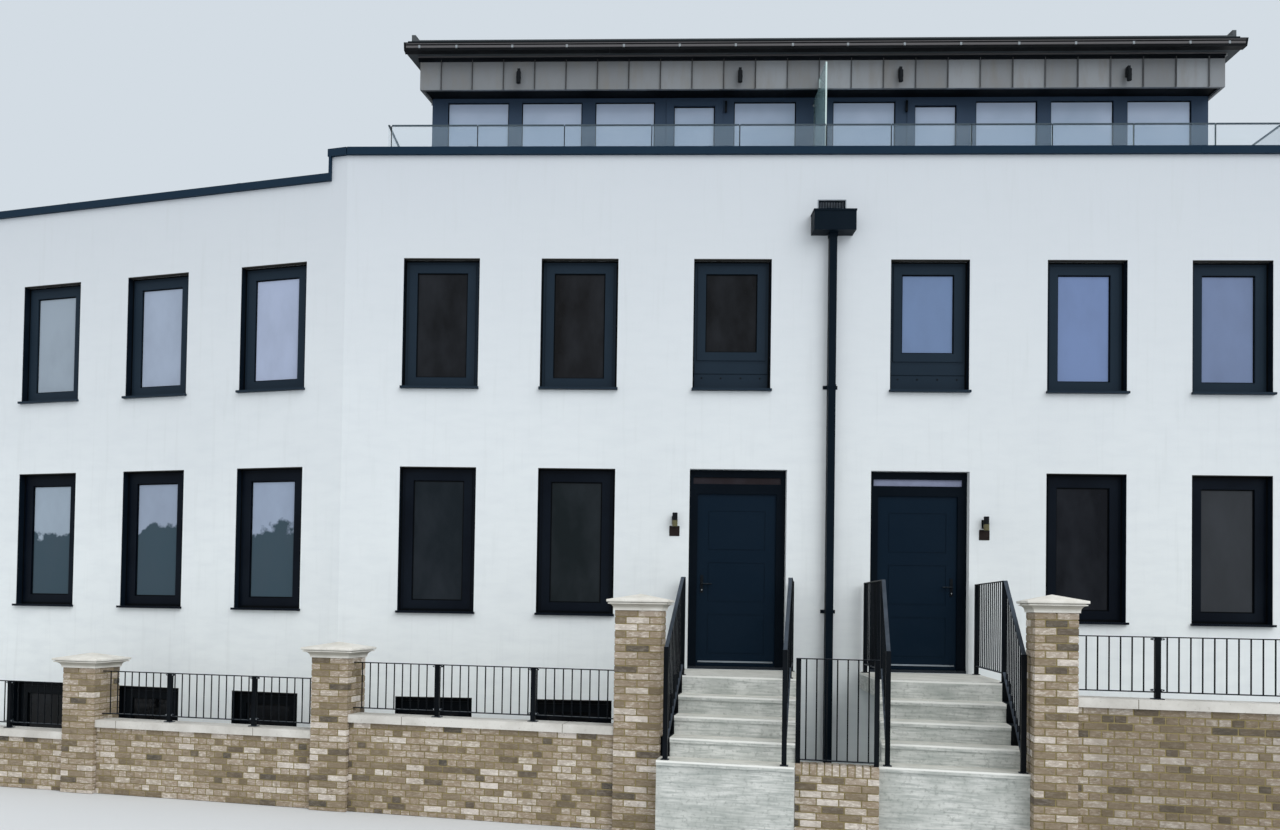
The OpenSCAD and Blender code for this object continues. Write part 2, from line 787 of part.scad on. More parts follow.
// The left side line's x at a depth, a given distance outside the wall
function pent_left(y, out) =
    -pent_half - out / cos(wing_angle) + (y - pent_front) * tan(wing_angle);
// The outline a given distance outside the side walls, between two depths
function pent_plan(out, y0, y1) = [[pent_left(y0, out), y0], [pent_half + out, y0],
    [pent_half + out, y1], [pent_left(y1, out), y1]];
// Half of the glazed front, outwards from the middle: posts, with glass between them
post_1 = pent_mid + pent_glass_1;
post_2 = post_1 + pent_stile + pent_door;
post_3 = post_2 + pent_stile + pent_glass_2;
post_4 = post_3 + pent_post + pent_glass_3;
pent_posts = [[0, pent_mid], [post_1, post_1 + pent_stile], [post_2, post_2 + pent_stile],
    [post_3, post_3 + pent_post], [post_4, post_4 + pent_post],
    [pent_half - pent_wall, pent_half]];
pent_sill = 70;
pent_head = 55;
sash_rail = 60;
module penthouse_frames() {
    door_x0 = pent_posts[1][1];
    door_x1 = pent_posts[2][0];
    stile = pent_stile * 0.4;
    color(win_colour) at_front() difference() {
        union() {
            mirrored() {
                for (p = pent_posts)
                    slab([p[0], pent_front, deck_z], [p[1], pent_front + post_t, soffit_z]);
                ring([door_x0 - stile, deck_z + pent_sill / 2],
                    [door_x1 + stile, soffit_z - pent_head / 2], stile, pent_head / 2 + sash_rail,
                    pent_sill / 2 + sash_rail, pent_front - sash_out, pent_front + post_t - eps);
                translate([door_x0 - stile, pent_front - sash_out, soffit_z - 200])
                    cylinder(h = 150, r = 9, $fn = 20);
            }
            slab([-pent_half, pent_front, deck_z],
                [pent_half, pent_front + post_t, deck_z + pent_sill]);
            slab([-pent_half, pent_front, soffit_z - pent_head],
                [pent_half, pent_front + post_t, soffit_z]);
        }
        // The left corner post is cut to the slant of the left side
        translate([0, 0, deck_z - eps]) linear_extrude(pent_h + 2 * eps)
            polygon([[pent_left(pent_front, 0), pent_front],
                [pent_left(pent_front + post_t + eps, 0), pent_front + post_t + eps],
                [-pent_half - post_t, pent_front + post_t + eps],
                [-pent_half - post_t, pent_front]]);
    }
}
module penthouse_glass() {
    in = 26;
    color([0.4, 0.45, 0.5, 0.5]) at_front() mirrored()
        for (i = [0:len(pent_posts) - 2]) {
            rail = i == 1 ? sash_rail : 0;
            slab([pent_posts[i][1], pent_front + in, deck_z + pent_sill + rail],
                [pent_posts[i + 1][0], pent_front + in + glass_t,
                soffit_z - pent_head - rail]);
        }
}
module penthouse_side_walls() {
    y0 = pent_front + post_t;
    y1 = pent_back - pent_wall;
    t = pent_wall / cos(wing_angle);
    color("#6d6a66") at_front() {
        slab([pent_half - pent_wall, y0, deck_z], [pent_half, y1, soffit_z]);
        translate([0, 0, deck_z]) linear_extrude(pent_h)
            polygon([[pent_left(y0, 0), y0 + skew_fit], [pent_left(y0, 0) + t, y0 + skew_fit],
                [pent_left(y1, 0) + t, y1 - skew_fit], [pent_left(y1, 0), y1 - skew_fit]]);
    }
}
module penthouse_rear_wall() {
    color("#6d6a66") at_front() translate([0, 0, deck_z]) linear_extrude(pent_h)
        polygon(pent_plan(0, pent_back - pent_wall, pent_back));
}
module penthouse_soffit() {
    out = eave_side - fascia_t - skew_fit;
    color("#2b3036") at_front() translate([0, 0, soffit_z]) linear_extrude(fascia_drop)
        polygon(pent_plan(out, eave_y + fascia_t, pent_back + eave_side - fascia_t));
}
// Clad boards on edge, standing seams and the trim under the roof
module penthouse_fascia() {
    back = pent_back + eave_side;
    n = floor((pent_half + eave_side) / seam_pitch);
    ns = round((back - eave_y) / seam_pitch);
    color("#75706a") at_front() {
        translate([0, 0, fascia_z0]) linear_extrude(fascia_h) difference() {
            polygon(pent_plan(eave_side, eave_y, back));
            polygon(pent_plan(eave_side - fascia_t, eave_y + fascia_t, back - fascia_t));
        }
        translate([0, 0, fascia_z1]) linear_extrude(trim_h) difference() {
            polygon(pent_plan(eave_side + seam_out, eave_y - seam_out, back + seam_out));
            polygon(pent_plan(eave_side - fascia_t, eave_y + fascia_t, back - fascia_t));
        }
        for (i = [-n:n]) {
            seam(i * seam_pitch, eave_y - seam_out / 2);
            if (i * seam_pitch > pent_left(back, 0)) seam(i * seam_pitch, back + seam_out / 2);
        }
        for (i = [1:ns - 1]) {
            y = eave_y + i * (back - eave_y) / ns;
            seam(pent_half + eave_side + seam_out / 2, y, 90);
            seam(pent_left(y, eave_side + seam_out / 2), y, 90 - wing_angle);
        }
    }
}
// One standing seam, centred on a point of the fascia's face
module seam(x, y, turn = 0) {
    translate([x, y, fascia_z0]) rotate([0, 0, turn]) translate([-4, -seam_out / 2 - eps, 0])
        cube([8, seam_out + 2 * eps, fascia_h]);
}
// The eaves board, the upper roof and its kerb, open towards the gutter
module penthouse_roof() {
    out = eave_side + roof_over;
    back = pent_back + out;
    up = out - roof_in;
    top = roof_z0 + roof_t + roof_up;
    color("#3a3f44") at_front() {
        translate([0, 0, roof_z0]) linear_extrude(roof_t)
            polygon(pent_plan(out, roof_y, back));
        translate([0, 0, roof_z0 + roof_t]) linear_extrude(roof_up)
            polygon(pent_plan(up, roof_y, back - roof_in));
        translate([0, 0, top]) linear_extrude(kerb_h) difference() {
            polygon(pent_plan(up, roof_y, back - roof_in));
            polygon(pent_plan(up - kerb_w, roof_y - eps, back - roof_in - kerb_w));
        }
    }
}
// An open trough in lengths, its front leaning out, closed at both ends
module eaves_gutter() {
    x0 = pent_left(roof_y, eave_side + roof_over);
    x1 = pent_half + eave_side + roof_over;
    step = (x1 - x0) / gutter_parts;
    color("#33383d") at_front()
        translate([0, roof_y, roof_z0 + roof_t - gutter_h])
        for (i = [0:gutter_parts - 1]) {
            a = x0 + i * step + (i == 0 ? 0 : gutter_joint / 2);
            b = x0 + (i + 1) * step - (i == gutter_parts - 1 ? 0 : gutter_joint / 2);
            along_x(a, b) difference() {
                polygon([[0, 0], [0, gutter_h], [-gutter_w, gutter_h],
                    [-gutter_w + gutter_lean, 0]]);
                polygon([[-gutter_t, gutter_t], [-gutter_t, gutter_h + eps],
                    [-gutter_w + gutter_t, gutter_h + eps],
                    [-gutter_w + gutter_lean + gutter_t, gutter_t]]);
            }
            if (i == 0) gutter_end(a);
            if (i == gutter_parts - 1) gutter_end(b - gutter_t);
        }
}
module gutter_end(x) {
    along_x(x, x + gutter_t) polygon([[0, 0], [0, gutter_h], [-gutter_w, gutter_h],
        [-gutter_w + gutter_lean, 0]]);
}
// Extrudes a YZ outline from one x to another
module along_x(a, b) {
    translate([a, 0, 0]) rotate([90, 0, 90]) linear_extrude(b - a) children();
}

/* Glass balustrade behind the parapet */
shoe_y = wall_t + coping_out + rail_gap + shoe_w / 2;
rail_left = main_half - mitre - coping_out - rail_gap_left;
rail_right = main_half - wall_t - coping_out - rail_gap_right;
function panes(len, pitch) = ceil(len / pitch);
module balustrade_channel() {
    h = shoe_w / 2;
    color("#8c9094") at_front() {
        slab([-rail_left, shoe_y - h, deck_z], [rail_right, shoe_y + h, deck_z + shoe_h]);
        slab([-rail_left, shoe_y, deck_z],
            [-rail_left + shoe_w, pent_front + post_t, deck_z + shoe_h]);
        slab([rail_right - shoe_w, shoe_y, deck_z],
            [rail_right, pent_front + post_t, deck_z + shoe_h]);
    }
}
module pane_run(len, pitch, z0) {
    n = panes(len, pitch);
    for (i = [0:n - 1]) slab([i * pitch + pane_gap / 2, 0, z0],
        [min((i + 1) * pitch, len) - pane_gap / 2, glass_rail_t, deck_z + glass_rail_h]);
}
module balustrade_glass() {
    z0 = deck_z + shoe_h;
    t = glass_rail_t / 2;
    color([0.7, 0.85, 0.85, 0.35]) at_front() {
        translate([-rail_left + shoe_w, shoe_y - t, 0])
            pane_run(rail_left - shoe_w, pane_left, z0);
        slab([pane_gap, shoe_y - t, z0],
            [pane_first - pane_gap / 2, shoe_y + t, deck_z + glass_rail_h]);
        translate([pane_first, shoe_y - t, 0])
            pane_run(rail_right - shoe_w - pane_first, pane_right, z0);
        for (x = [-rail_left + shoe_w / 2, rail_right - shoe_w / 2])
            slab([x - t, shoe_y - t, z0],
                [x + t, pent_front + post_t, deck_z + glass_rail_h]);
    }
}
// A pane on edge between the terraces, notched round the eaves
module privacy_screen() {
    t = glass_rail_t / 2;
    g = screen_gap;
    color([0.5, 0.7, 0.68, 0.5]) at_front() difference() {
        slab([-t, shoe_y + shoe_w / 2, deck_z], [t, pent_front, deck_z + screen_h]);
        slab([-t - eps, eave_y - seam_out - g, fascia_z0 - g],
            [t + eps, pent_front + eps, deck_z + screen_h + eps]);
    }
}

/* Rainwater */
hopper_top = deck_z - hopper_drop;
pipe_y0 = -pipe_gap - pipe_w;
spigot_h = 45;
// An open box under the terrace's outlet, with a socket for the pipe
module hopper_head() {
    t = hopper_t;
    w = hopper_w / 2;
    p = pipe_w / 2 + 8;
    z0 = hopper_top - hopper_h;
    color(win_colour) at_front() {
        difference() {
            slab([-w, -hopper_d, z0], [w, 0, hopper_top]);
            slab([-w + t, -hopper_d + t, z0 + t], [w - t, -t, hopper_top + eps]);
        }
        slab([-w - 6, -hopper_d - 6, hopper_top - 22], [w + 6, -hopper_d, hopper_top]);
        for (x = [-w - 6, w]) slab([x, -hopper_d, hopper_top - 22], [x + 6, 0, hopper_top]);
        slab([-p, pipe_y0 - 8, z0 - spigot_h], [p, -pipe_gap + 8, z0]);
    }
}
// A frame with upright bars in the terrace's outlet
module outlet_grille() {
    w = outlet_w / 2;
    z1 = deck_z + outlet_top;
    frame = 12;
    pitch = (outlet_w - 2 * frame) / (outlet_bars + 1);
    color("#1c1f22") at_front() translate([0, 10, 0]) {
        ring([-w, hopper_top], [w, z1], frame, frame, frame, 0, 20);
        for (i = [1:outlet_bars]) translate([-w + frame + i * pitch - 4, 4, hopper_top + frame])
            cube([8, 12, z1 - hopper_top - 2 * frame]);
    }
}
// A square pipe with two brackets, each with its ears flat on the wall
module downpipe() {
    w = pipe_w / 2;
    ear = 45;
    color(win_colour) at_front() {
        slab([-w, pipe_y0, 0], [w, -pipe_gap, hopper_top - hopper_h - spigot_h]);
        for (z = [first_z + bracket_up, ground_z + bracket_low]) {
            slab([-w - ear, -10, z - 22], [w + ear, 0, z + 22]);
            slab([-w - 6, pipe_y0 - 5, z - 18], [w + 6, 0, z + 18]);
        }
    }
}

/* Steps: x along the street, y towards the houses, from the piers' faces */
treads = risers - 1;
left_y = -left_out;
right_y = right_in;
// Each flight stands against its outer pier
pier_3 = left_x - pier_wide / 2;
right_end = pier_4 - pier_slim / 2;
right_w = right_end - right_x;
module flight(x0, w, y0, bottom_x0) {
    for (k = [0:treads - 1]) {
        y = y0 + k * going;
        z = street_drop + (k + 1) * riser;
        bx = k == 0 ? bottom_x0 : x0;
        slab([bx, y + nosing, 0], [x0 + w, y + going + nosing, z - tread_t]);
        slab([bx, y, z - tread_t], [x0 + w, y + going + nosing, z]);
    }
}
module left_steps() {
    color("#bdbfba") at_street()
        flight(left_x, left_w, left_y, left_x);
}
module right_steps() {
    color("#bdbfba") at_street()
        flight(right_x, right_w, right_y, right_x - step_past);
}
// A point of the street's grid, seen in the main front's own grid
function street_pt(x, y) = [x * cos(street_angle) + y * sin(street_angle),
    -street_gap - x * sin(street_angle) + y * cos(street_angle)];
// Where a railing ends at the wall, on the inner and the outer side of a door
beside_in = door_in - rail_beside;
beside_out = door_out + rail_beside;
// A landing runs from the top step's line back to the wall, where its sides
// stand square to the doors instead of to the steps
module landing(x0, w, y0, wall_x0, wall_x1) {
    at_front() translate([0, 0, ground_z - riser + bed]) linear_extrude(riser - bed)
        polygon([street_pt(x0, y0), street_pt(x0 + w, y0), [wall_x1, 0], [wall_x0, 0]]);
}
module left_landing() {
    color("#bdbfba") landing(left_x, left_w, left_y + treads * going,
        -beside_out - landing_past, -beside_in + landing_past);
}
module right_landing() {
    color("#bdbfba") landing(right_x, right_w, right_y + treads * going,
        beside_in - landing_past, beside_out + landing_past);
}

/* Railings */
// A straight panel between two x positions, bars between two flat rails
module panel(x0, x1, z0, z1) {
    n = round((x1 - x0) / bar_pitch);
    slab([x0, -rail_w / 2, z1 - rail_t], [x1, rail_w / 2, z1]);
    slab([x0, -rail_w / 2, z0], [x1, rail_w / 2, z0 + rail_t]);
    for (i = [1:n - 1]) translate([x0 + i * (x1 - x0) / n, 0, z0 + rail_t])
        cylinder(h = z1 - z0 - 2 * rail_t, d = bar_d, $fn = 16);
}
module post(x, z0, z1) {
    slab([x - post_w / 2, -post_w / 2, z0], [x + post_w / 2, post_w / 2, z1]);
}
// Where the post at the head of a flight stands, from the flight's last nosing
turn_in = plate_w / 2 + 6;
// The sloping part of a stair railing in its own upright plane: x runs back
// from the bottom step's front, up to the post on the landing
module stair_railing() {
    slope = riser / going;
    run = treads * going;
    foot = 60;
    z_foot = street_drop + riser;
    function nose(x) = z_foot + x * slope;
    top0 = nose(foot) + hand_h;
    top1 = nose(run) + hand_h;
    low0 = nose(foot) + hand_low;
    low1 = nose(run) + hand_low;
    for (b = [[low0, low1], [top0, top1]])
        rotate([90, 0, 0]) translate([0, 0, -rail_w / 2]) linear_extrude(rail_w)
            polygon([[foot, b[0] - rail_t * 1.3], [run, b[1] - rail_t * 1.3],
                [run, b[1]], [foot, b[0]]]);
    n = round((run - foot) / bar_pitch);
    for (i = [1:n - 1]) {
        x = foot + i * (run - foot) / n;
        translate([x, 0, nose(x) + hand_low - 4])
            cylinder(h = hand_h - hand_low - rail_t / 2, d = bar_d, $fn = 16);
    }
    for (z = [ground_z + hand_low - 20, top1 - rail_t])
        slab([run, -rail_w / 2, z], [run + turn_in - 4, rail_w / 2, z + rail_t]);
    footed_post(foot, z_foot, top0);
    footed_post(run + turn_in, ground_z, top1);
}
// The level part, from the post at the turn to a point beside the door
module level_railing(a, b) {
    len = norm(b - a);
    translate([a[0], a[1], 0]) rotate([0, 0, atan2(b[1] - a[1], b[0] - a[0])]) {
        panel(4, len, ground_z + hand_low - 20, ground_z + hand_h);
        footed_post(len - plate_w / 2, ground_z, ground_z + hand_h);
    }
}
// A post on its base plate
module footed_post(x, z0, z1) {
    post(x, z0, z1);
    slab([x - plate_w / 2, -plate_w / 2, z0], [x + plate_w / 2, plate_w / 2, z0 + plate_t]);
}
// A whole railing, up the slope and then level to its end at the wall
module railing_on(x, y0, wall_x) {
    at_street() translate([x, y0, 0]) rotate([0, 0, 90]) stair_railing();
    turn = street_pt(x, y0 + treads * going + turn_in);
    at_front() level_railing(turn, [wall_x, -rail_off]);
}
module left_stair_railings() {
    color("#24292e") {
        railing_on(left_x + hand_out_l, left_y, -beside_out);
        railing_on(left_x + left_w - hand_mid_l, left_y, -beside_in);
    }
}
module right_stair_railings() {
    color("#24292e") {
        railing_on(right_x + hand_mid_r, right_y, beside_in);
        railing_on(right_end - hand_out_r, right_y, beside_out);
    }
}

/* Boundary wall along the street */
// Each pier's centre, width, height and depth, and its cap's overhang
piers = [[pier_1, pier_w, pier_1_h, pier_w, cap_out],
    [pier_2, pier_w, pier_2_h, pier_w, cap_out],
    [pier_3, pier_wide, pier_3_h, pier_flat, gate_cap_out],
    [pier_4, pier_slim, pier_4_h, pier_w, gate_cap_out],
    [pier_5, pier_w, pier_4_h, pier_w, cap_out]];
wall_back = 60;
function pier_l(i) = piers[i][0] - piers[i][1] / 2;
function pier_r(i) = piers[i][0] + piers[i][1] / 2;
// Left end, right end and top of each stretch of wall
runs = [[wall_end, pier_l(0), top_1], [pier_r(0), pier_l(1), top_2],
    [pier_r(1), pier_l(2), top_3], [pier_r(3), pier_l(4), top_4]];
// Where the railing's posts stand along each stretch, as shares of it
post_shares = [[0.01, 0.62], [0.32, 0.72], [0.33, 0.7], [0.18, 0.46, 0.74]];
kerb_x0 = left_x + left_w;
kerb_x1 = right_x - step_past;
module boundary_walls() {
    color("#b19b7c") at_street() {
        for (r = runs) slab([r[0], wall_back, 0],
            [r[1], wall_back + brick_t, street_drop + r[2]]);
        slab([kerb_x0, 0, 0], [kerb_x1, brick_t, street_drop + kerb_top]);
    }
}
module boundary_copings() {
    color("#cfcac0") at_street() for (r = runs)
        slab([r[0], wall_back - stone_out, street_drop + r[2]],
            [r[1], wall_back + brick_t + stone_out, street_drop + r[2] + stone_h]);
}
module boundary_piers() {
    color("#b19b7c") at_street() for (p = piers)
        slab([p[0] - p[1] / 2, 0, 0], [p[0] + p[1] / 2, p[3], street_drop + p[2]]);
}
// A cap's profile across a width: a fillet, a hollow moulding, two bands and a
// shallow roof
module cap_profile(w, out) {
    fillet = 12;
    step = 7;
    steps = 4;
    edge = cap_mould + cap_edge;
    // Distance of the moulding's point i from the cap's axis, and its height
    function hollow(i) = w / 2 + fillet
        + (out - 2 * step - fillet) * (1 - cos(90 * i / steps));
    function level(i) = fillet + (cap_mould - 2 * fillet) * sin(90 * i / steps);
    side = concat([[w / 2 + fillet, 0]], [for (i = [0:steps]) [hollow(i), level(i)]],
        [[w / 2 + out - step, cap_mould - fillet], [w / 2 + out - step, cap_mould],
        [w / 2 + out, cap_mould], [w / 2 + out, edge]]);
    polygon(concat(side, [[0, edge + cap_rise]],
        [for (i = [len(side) - 1:-1:0]) [-side[i][0], side[i][1]]]));
}
// The profile run both ways; the moulding meets in mitres at the corners
module cap(w, d, out) {
    translate([w / 2, d / 2, 0]) intersection() {
        rotate([90, 0, 0]) linear_extrude(d + 4 * out, center = true)
            cap_profile(w, out);
        rotate([90, 0, 90]) linear_extrude(w + 4 * out, center = true)
            cap_profile(d, out);
    }
}
module pier_caps() {
    color("#d8d5cc") at_street() for (p = piers)
        translate([p[0] - p[1] / 2, 0, street_drop + p[2]]) cap(p[1], p[3], p[4]);
}
module boundary_railings() {
    color("#24292e") at_street() {
        for (i = [0:len(runs) - 1]) {
            r = runs[i];
            z = street_drop + r[2] + stone_h;
            translate([0, wall_back + brick_t / 2, 0]) {
                panel(r[0], r[1], z + rail_low, z + rail_top);
                for (share = post_shares[i])
                    post(r[0] + post_w / 2 + share * (r[1] - r[0] - post_w), z, z + rail_top);
            }
        }
        translate([0, brick_t / 2, 0]) {
            z = street_drop + kerb_top;
            panel(kerb_x0, kerb_x1, z + kerb_rail_low, z + kerb_rail);
            for (x = [kerb_x0 + post_w / 2, kerb_x1 - post_w / 2])
                post(x, z, z + kerb_rail);
        }
    }
}

/* Lights */
lamp_x = door_out + lamp_out;
lamp_gap = 40;
// Each fascia light hangs in the middle of a panel between two seams
spots = [2.5, 9.5];
module lamp(h, r) {
    cylinder(h = h, r = r, $fn = 32);
    translate([0, 0, h * 0.44]) cylinder(h = h * 0.1, r = r + 2, $fn = 32);
}
module wall_lights() {
    color("#1f2327") at_front() mirrored() {
        translate([lamp_x, -lamp_gap - lamp_r, ground_z + lamp_z]) {
            lamp(lamp_h, lamp_r);
            slab([-20, 0, lamp_h * 0.3], [20, lamp_gap + lamp_r - 12, lamp_h * 0.7]);
            slab([-34, lamp_gap + lamp_r - 12, lamp_h * 0.2],
                [34, lamp_gap + lamp_r, lamp_h * 0.8]);
        }
        for (k = spots)
            translate([k * seam_pitch, eave_y - lamp_gap - lamp_r, fascia_z0 + spot_z]) {
                lamp(spot_h, lamp_r - 2);
                slab([-18, 0, spot_h * 0.5], [18, lamp_gap + lamp_r, spot_h + 50]);
            }
    }
}

base_slab();
lower_ground_wall();
ground_wall_left();
ground_wall_centre();
ground_wall_right();
upper_front_wall();
wing_wall();
wing_end_wall();
right_party_wall();
rear_wall();
ground_floor();
first_floor();
roof_deck();
roof_party_parapet();
parapet_copings();
front_window_frames();
front_window_glass();
rear_window_frames();
rear_window_glass();
window_sills();
door_jambs();
door_heads();
door_thresholds();
transom_glass();
door_hinges();
left_door();
right_door();
left_door_fittings();
right_door_fittings();
penthouse_frames();
penthouse_glass();
penthouse_side_walls();
penthouse_rear_wall();
penthouse_soffit();
penthouse_fascia();
penthouse_roof();
eaves_gutter();
balustrade_channel();
balustrade_glass();
privacy_screen();
hopper_head();
outlet_grille();
downpipe();
left_steps();
right_steps();
left_landing();
right_landing();
left_stair_railings();
right_stair_railings();
boundary_walls();
boundary_copings();
boundary_piers();
pier_caps();
boundary_railings();
wall_lights();
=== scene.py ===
"""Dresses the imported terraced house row: brickwork, trim, finishes and studio."""
import math
import random

import bmesh
import bpy
from mathutils import Matrix, Vector


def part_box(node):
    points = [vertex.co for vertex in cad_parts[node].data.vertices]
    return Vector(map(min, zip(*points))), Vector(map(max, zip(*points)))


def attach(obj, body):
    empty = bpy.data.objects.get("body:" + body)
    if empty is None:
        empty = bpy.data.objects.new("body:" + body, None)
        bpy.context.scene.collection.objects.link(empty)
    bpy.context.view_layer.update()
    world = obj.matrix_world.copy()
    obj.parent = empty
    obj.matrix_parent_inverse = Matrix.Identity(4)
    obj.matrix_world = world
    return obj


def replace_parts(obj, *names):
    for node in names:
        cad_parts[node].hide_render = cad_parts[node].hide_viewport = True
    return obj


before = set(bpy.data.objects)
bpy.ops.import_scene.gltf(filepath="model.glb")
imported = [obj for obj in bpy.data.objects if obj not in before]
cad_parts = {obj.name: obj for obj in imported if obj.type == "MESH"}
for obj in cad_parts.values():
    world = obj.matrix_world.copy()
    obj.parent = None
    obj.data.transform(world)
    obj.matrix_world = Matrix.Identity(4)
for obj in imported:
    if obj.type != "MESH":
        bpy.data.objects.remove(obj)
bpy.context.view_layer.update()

bl_info = {
    "name": "Terraced House Row",
    "version": (1, 0, 0),
    "blender": (4, 5, 0),
    "location": "View3D > Sidebar > House Row",
    "description": "Lays the brickwork, fits the trim and paints the house row",
    "category": "Object",
}

BUILDING = "building"

# Lines of the plan, in metres: the main front, the wing's corner and the
# street, with the axes of the street wall and the wing
FRONT_Y = -4.2
STREET_Y, STREET_Z = FRONT_Y - 2.619, 0.6
STREET_TURN = math.radians(-12)
STREET = (Matrix.Translation((0, STREET_Y, 0))
          @ Matrix.Rotation(STREET_TURN, 4, "Z"))
WING = (Matrix.Translation((-6.13, FRONT_Y, 0))
        @ Matrix.Rotation(math.radians(-14), 4, "Z"))
DOOR_FLOOR, FIRST_FLOOR = 1.59, 4.43
RISER, GOING, TREADS = 0.198, 0.29, 4
# A brick's width, how uneven its face is, and how far it leans (in radians)
# and stands back
BRICK_WIDE, UNEVEN, LEAN, SUNK = 0.1, 0.0008, 0.004, 0.0015
SEAM_PITCH = 0.426
# Where tones change, as a start and an end: up the front for the render, which
# is painted paler near the ground as painted light, at its splashed foot, in the
# window wells, where shade is painted, at the storeys' lines for the frames,
# where painted shade gives way to painted light, at the storeys' line for the
# glass, along the brick wall right of the steps, which is painted darker, and at
# the worn nosing of a step, over its riser's foot
RENDER_RAMP, SPLASHED, WELLS = (1.5, 8.4), (0.0, 0.75), (1.45, 1.55)
STOREY_LINES, GLASS_STOREY = ((4.2, 4.3), (7.3, 7.4)), 4.4
DARKER_RIGHT_WALL, NOSING = (1.74, 1.9), (RISER - 0.024, RISER - 0.014)
# The row's two ends, the wing's last glass and the ends of the terrace
ROW_LEFT, ROW_RIGHT, WING_GLASS, TERRACE_END = -11.9, 6.2, -6.2, 5.67

# Boundary wall along the street: start, end and top of each run
WALL_RUNS = [(-11.9, -9.515, 0.63), (-9.065, -6.193, 0.797),
             (-5.743, -2.699, 1.0), (1.7515, 5.605, 1.47)]
WALL_FACE, WALL_BACK = 0.06, 0.275
# Each pier's middle, width, depth and top, and how far its cap stands out
PIERS = [(-9.29, 0.45, 0.45, 1.505), (-5.968, 0.45, 0.45, 1.718),
         (-2.454, 0.49, 0.33, 2.309), (1.559, 0.385, 0.45, 2.352),
         (5.83, 0.45, 0.45, 2.352)]
CAP_OUT = (0.09, 0.09, 0.077, 0.077, 0.09)
# The kerb between the steps: start, end, top, depth and its two rows of bricks
KERB = (-0.84, -0.03, 0.8)
KERB_DEEP, KERB_ROWS = 0.215, ((0.0, 0.1025), (0.1125, 0.215))
STONE_LENGTH = 1.84
# Posts of each run's railing, as shares of the run, and the railing's heights
POST_SHARES = ((0.01, 0.62), (0.32, 0.72), (0.33, 0.7), (0.18, 0.46, 0.74))
POST_WIDE = 0.048
STONE_HIGH, RAIL_LOW, RAIL_TOP, RAIL_HALF = 0.088, 0.062, 0.585, 0.023
# Black trays along the outer end of each flight: their sides, the line of the
# first riser and the first riser that they cover
STEP_TRAYS = ((-2.211, -2.115, -0.204, 2), (1.285, 1.3685, 0.151, 3))
# Depth of the window and door recesses, of a frame behind its sash, and the
# play left round a sheet
REVEAL, SASH_OUT, PLAY = 0.09, 0.012, 0.0004
# How far the beads and seals stand out, and how far the sheets under the
# lintels and the linings stop short of the wall's face
BEAD_OUT, SEAL_OUT, SHEET_SHORT, LINING_SHORT = 0.005, 0.003, 0.004, 0.006

# Screw caps of the panels over the doors: distances from the middle, height
PANEL_CAPS_X = (0.858, 1.098, 1.348, 1.588)
PANEL_CAPS_Z = FIRST_FLOOR + 0.823
# The lock face: in from the leaf's edge, out from its face, and its height
LOCK_IN, LOCK_OUT, LOCK_Z = 0.072, 0.0139, DOOR_FLOOR + 0.99
# The lamps beside the doors: distance from the middle, foot, radius and how
# far they stand out; and the top of the plates under them
LAMP_X, LAMP_FOOT, LAMP_RADIUS, LAMP_OUT = 1.907, DOOR_FLOOR + 1.76, 0.032, 0.074
PLATE_TOP = LAMP_FOOT + 0.022
# Foot and head of the gutter's grey rim, of the bead over it and of the lip
RIM_BAND, BEAD_BAND, LIP_BAND = (9.8, 9.83), (9.845, 9.855), (9.786, 9.7995)
# The closer under the eaves: how far each step stands out, its foot and head
CLOSER_STEPS = ((0.03, 9.765, 9.7995), (0.01, 9.742, 9.766))
CLIPS_X = (-5.37, -4.87, -4.12, -3.39, -2.63, -1.89, -1.15, -0.40, 0.32, 1.06,
           1.79, 2.54, 3.27, 4.01, 4.73, 5.23)
# Pulls of the terrace doors and clamps of the privacy screen
PULLS_X, PULL_BAND = (-1.213, 1.241), (9.17, 9.335)
CLAMP_X, CLAMPS_Z = -0.016, (7.9, 9.266)
# Tops of the parapet copings and the joints that the straps cover
MAIN_COPING, MAIN_JOINTS = 8.145, (-4.55, -1.53, 1.49, 4.51)
WING_COPING, WING_JOINTS = 7.836, (-1.57, -4.3)

# The camera that took the view: its place, turns and picture
EYE = (-2.668, -16.851, 2.312)
LOOK_TURN, LOOK_UP, LOOK_ROLL = (math.radians(a) for a in (-2.2827, 1.1988, 0.9462))
FOCAL_PX, MIDDLE_PX = 1010.35, (572.29, 587.85)
PICTURE_PX = (1280, 830)

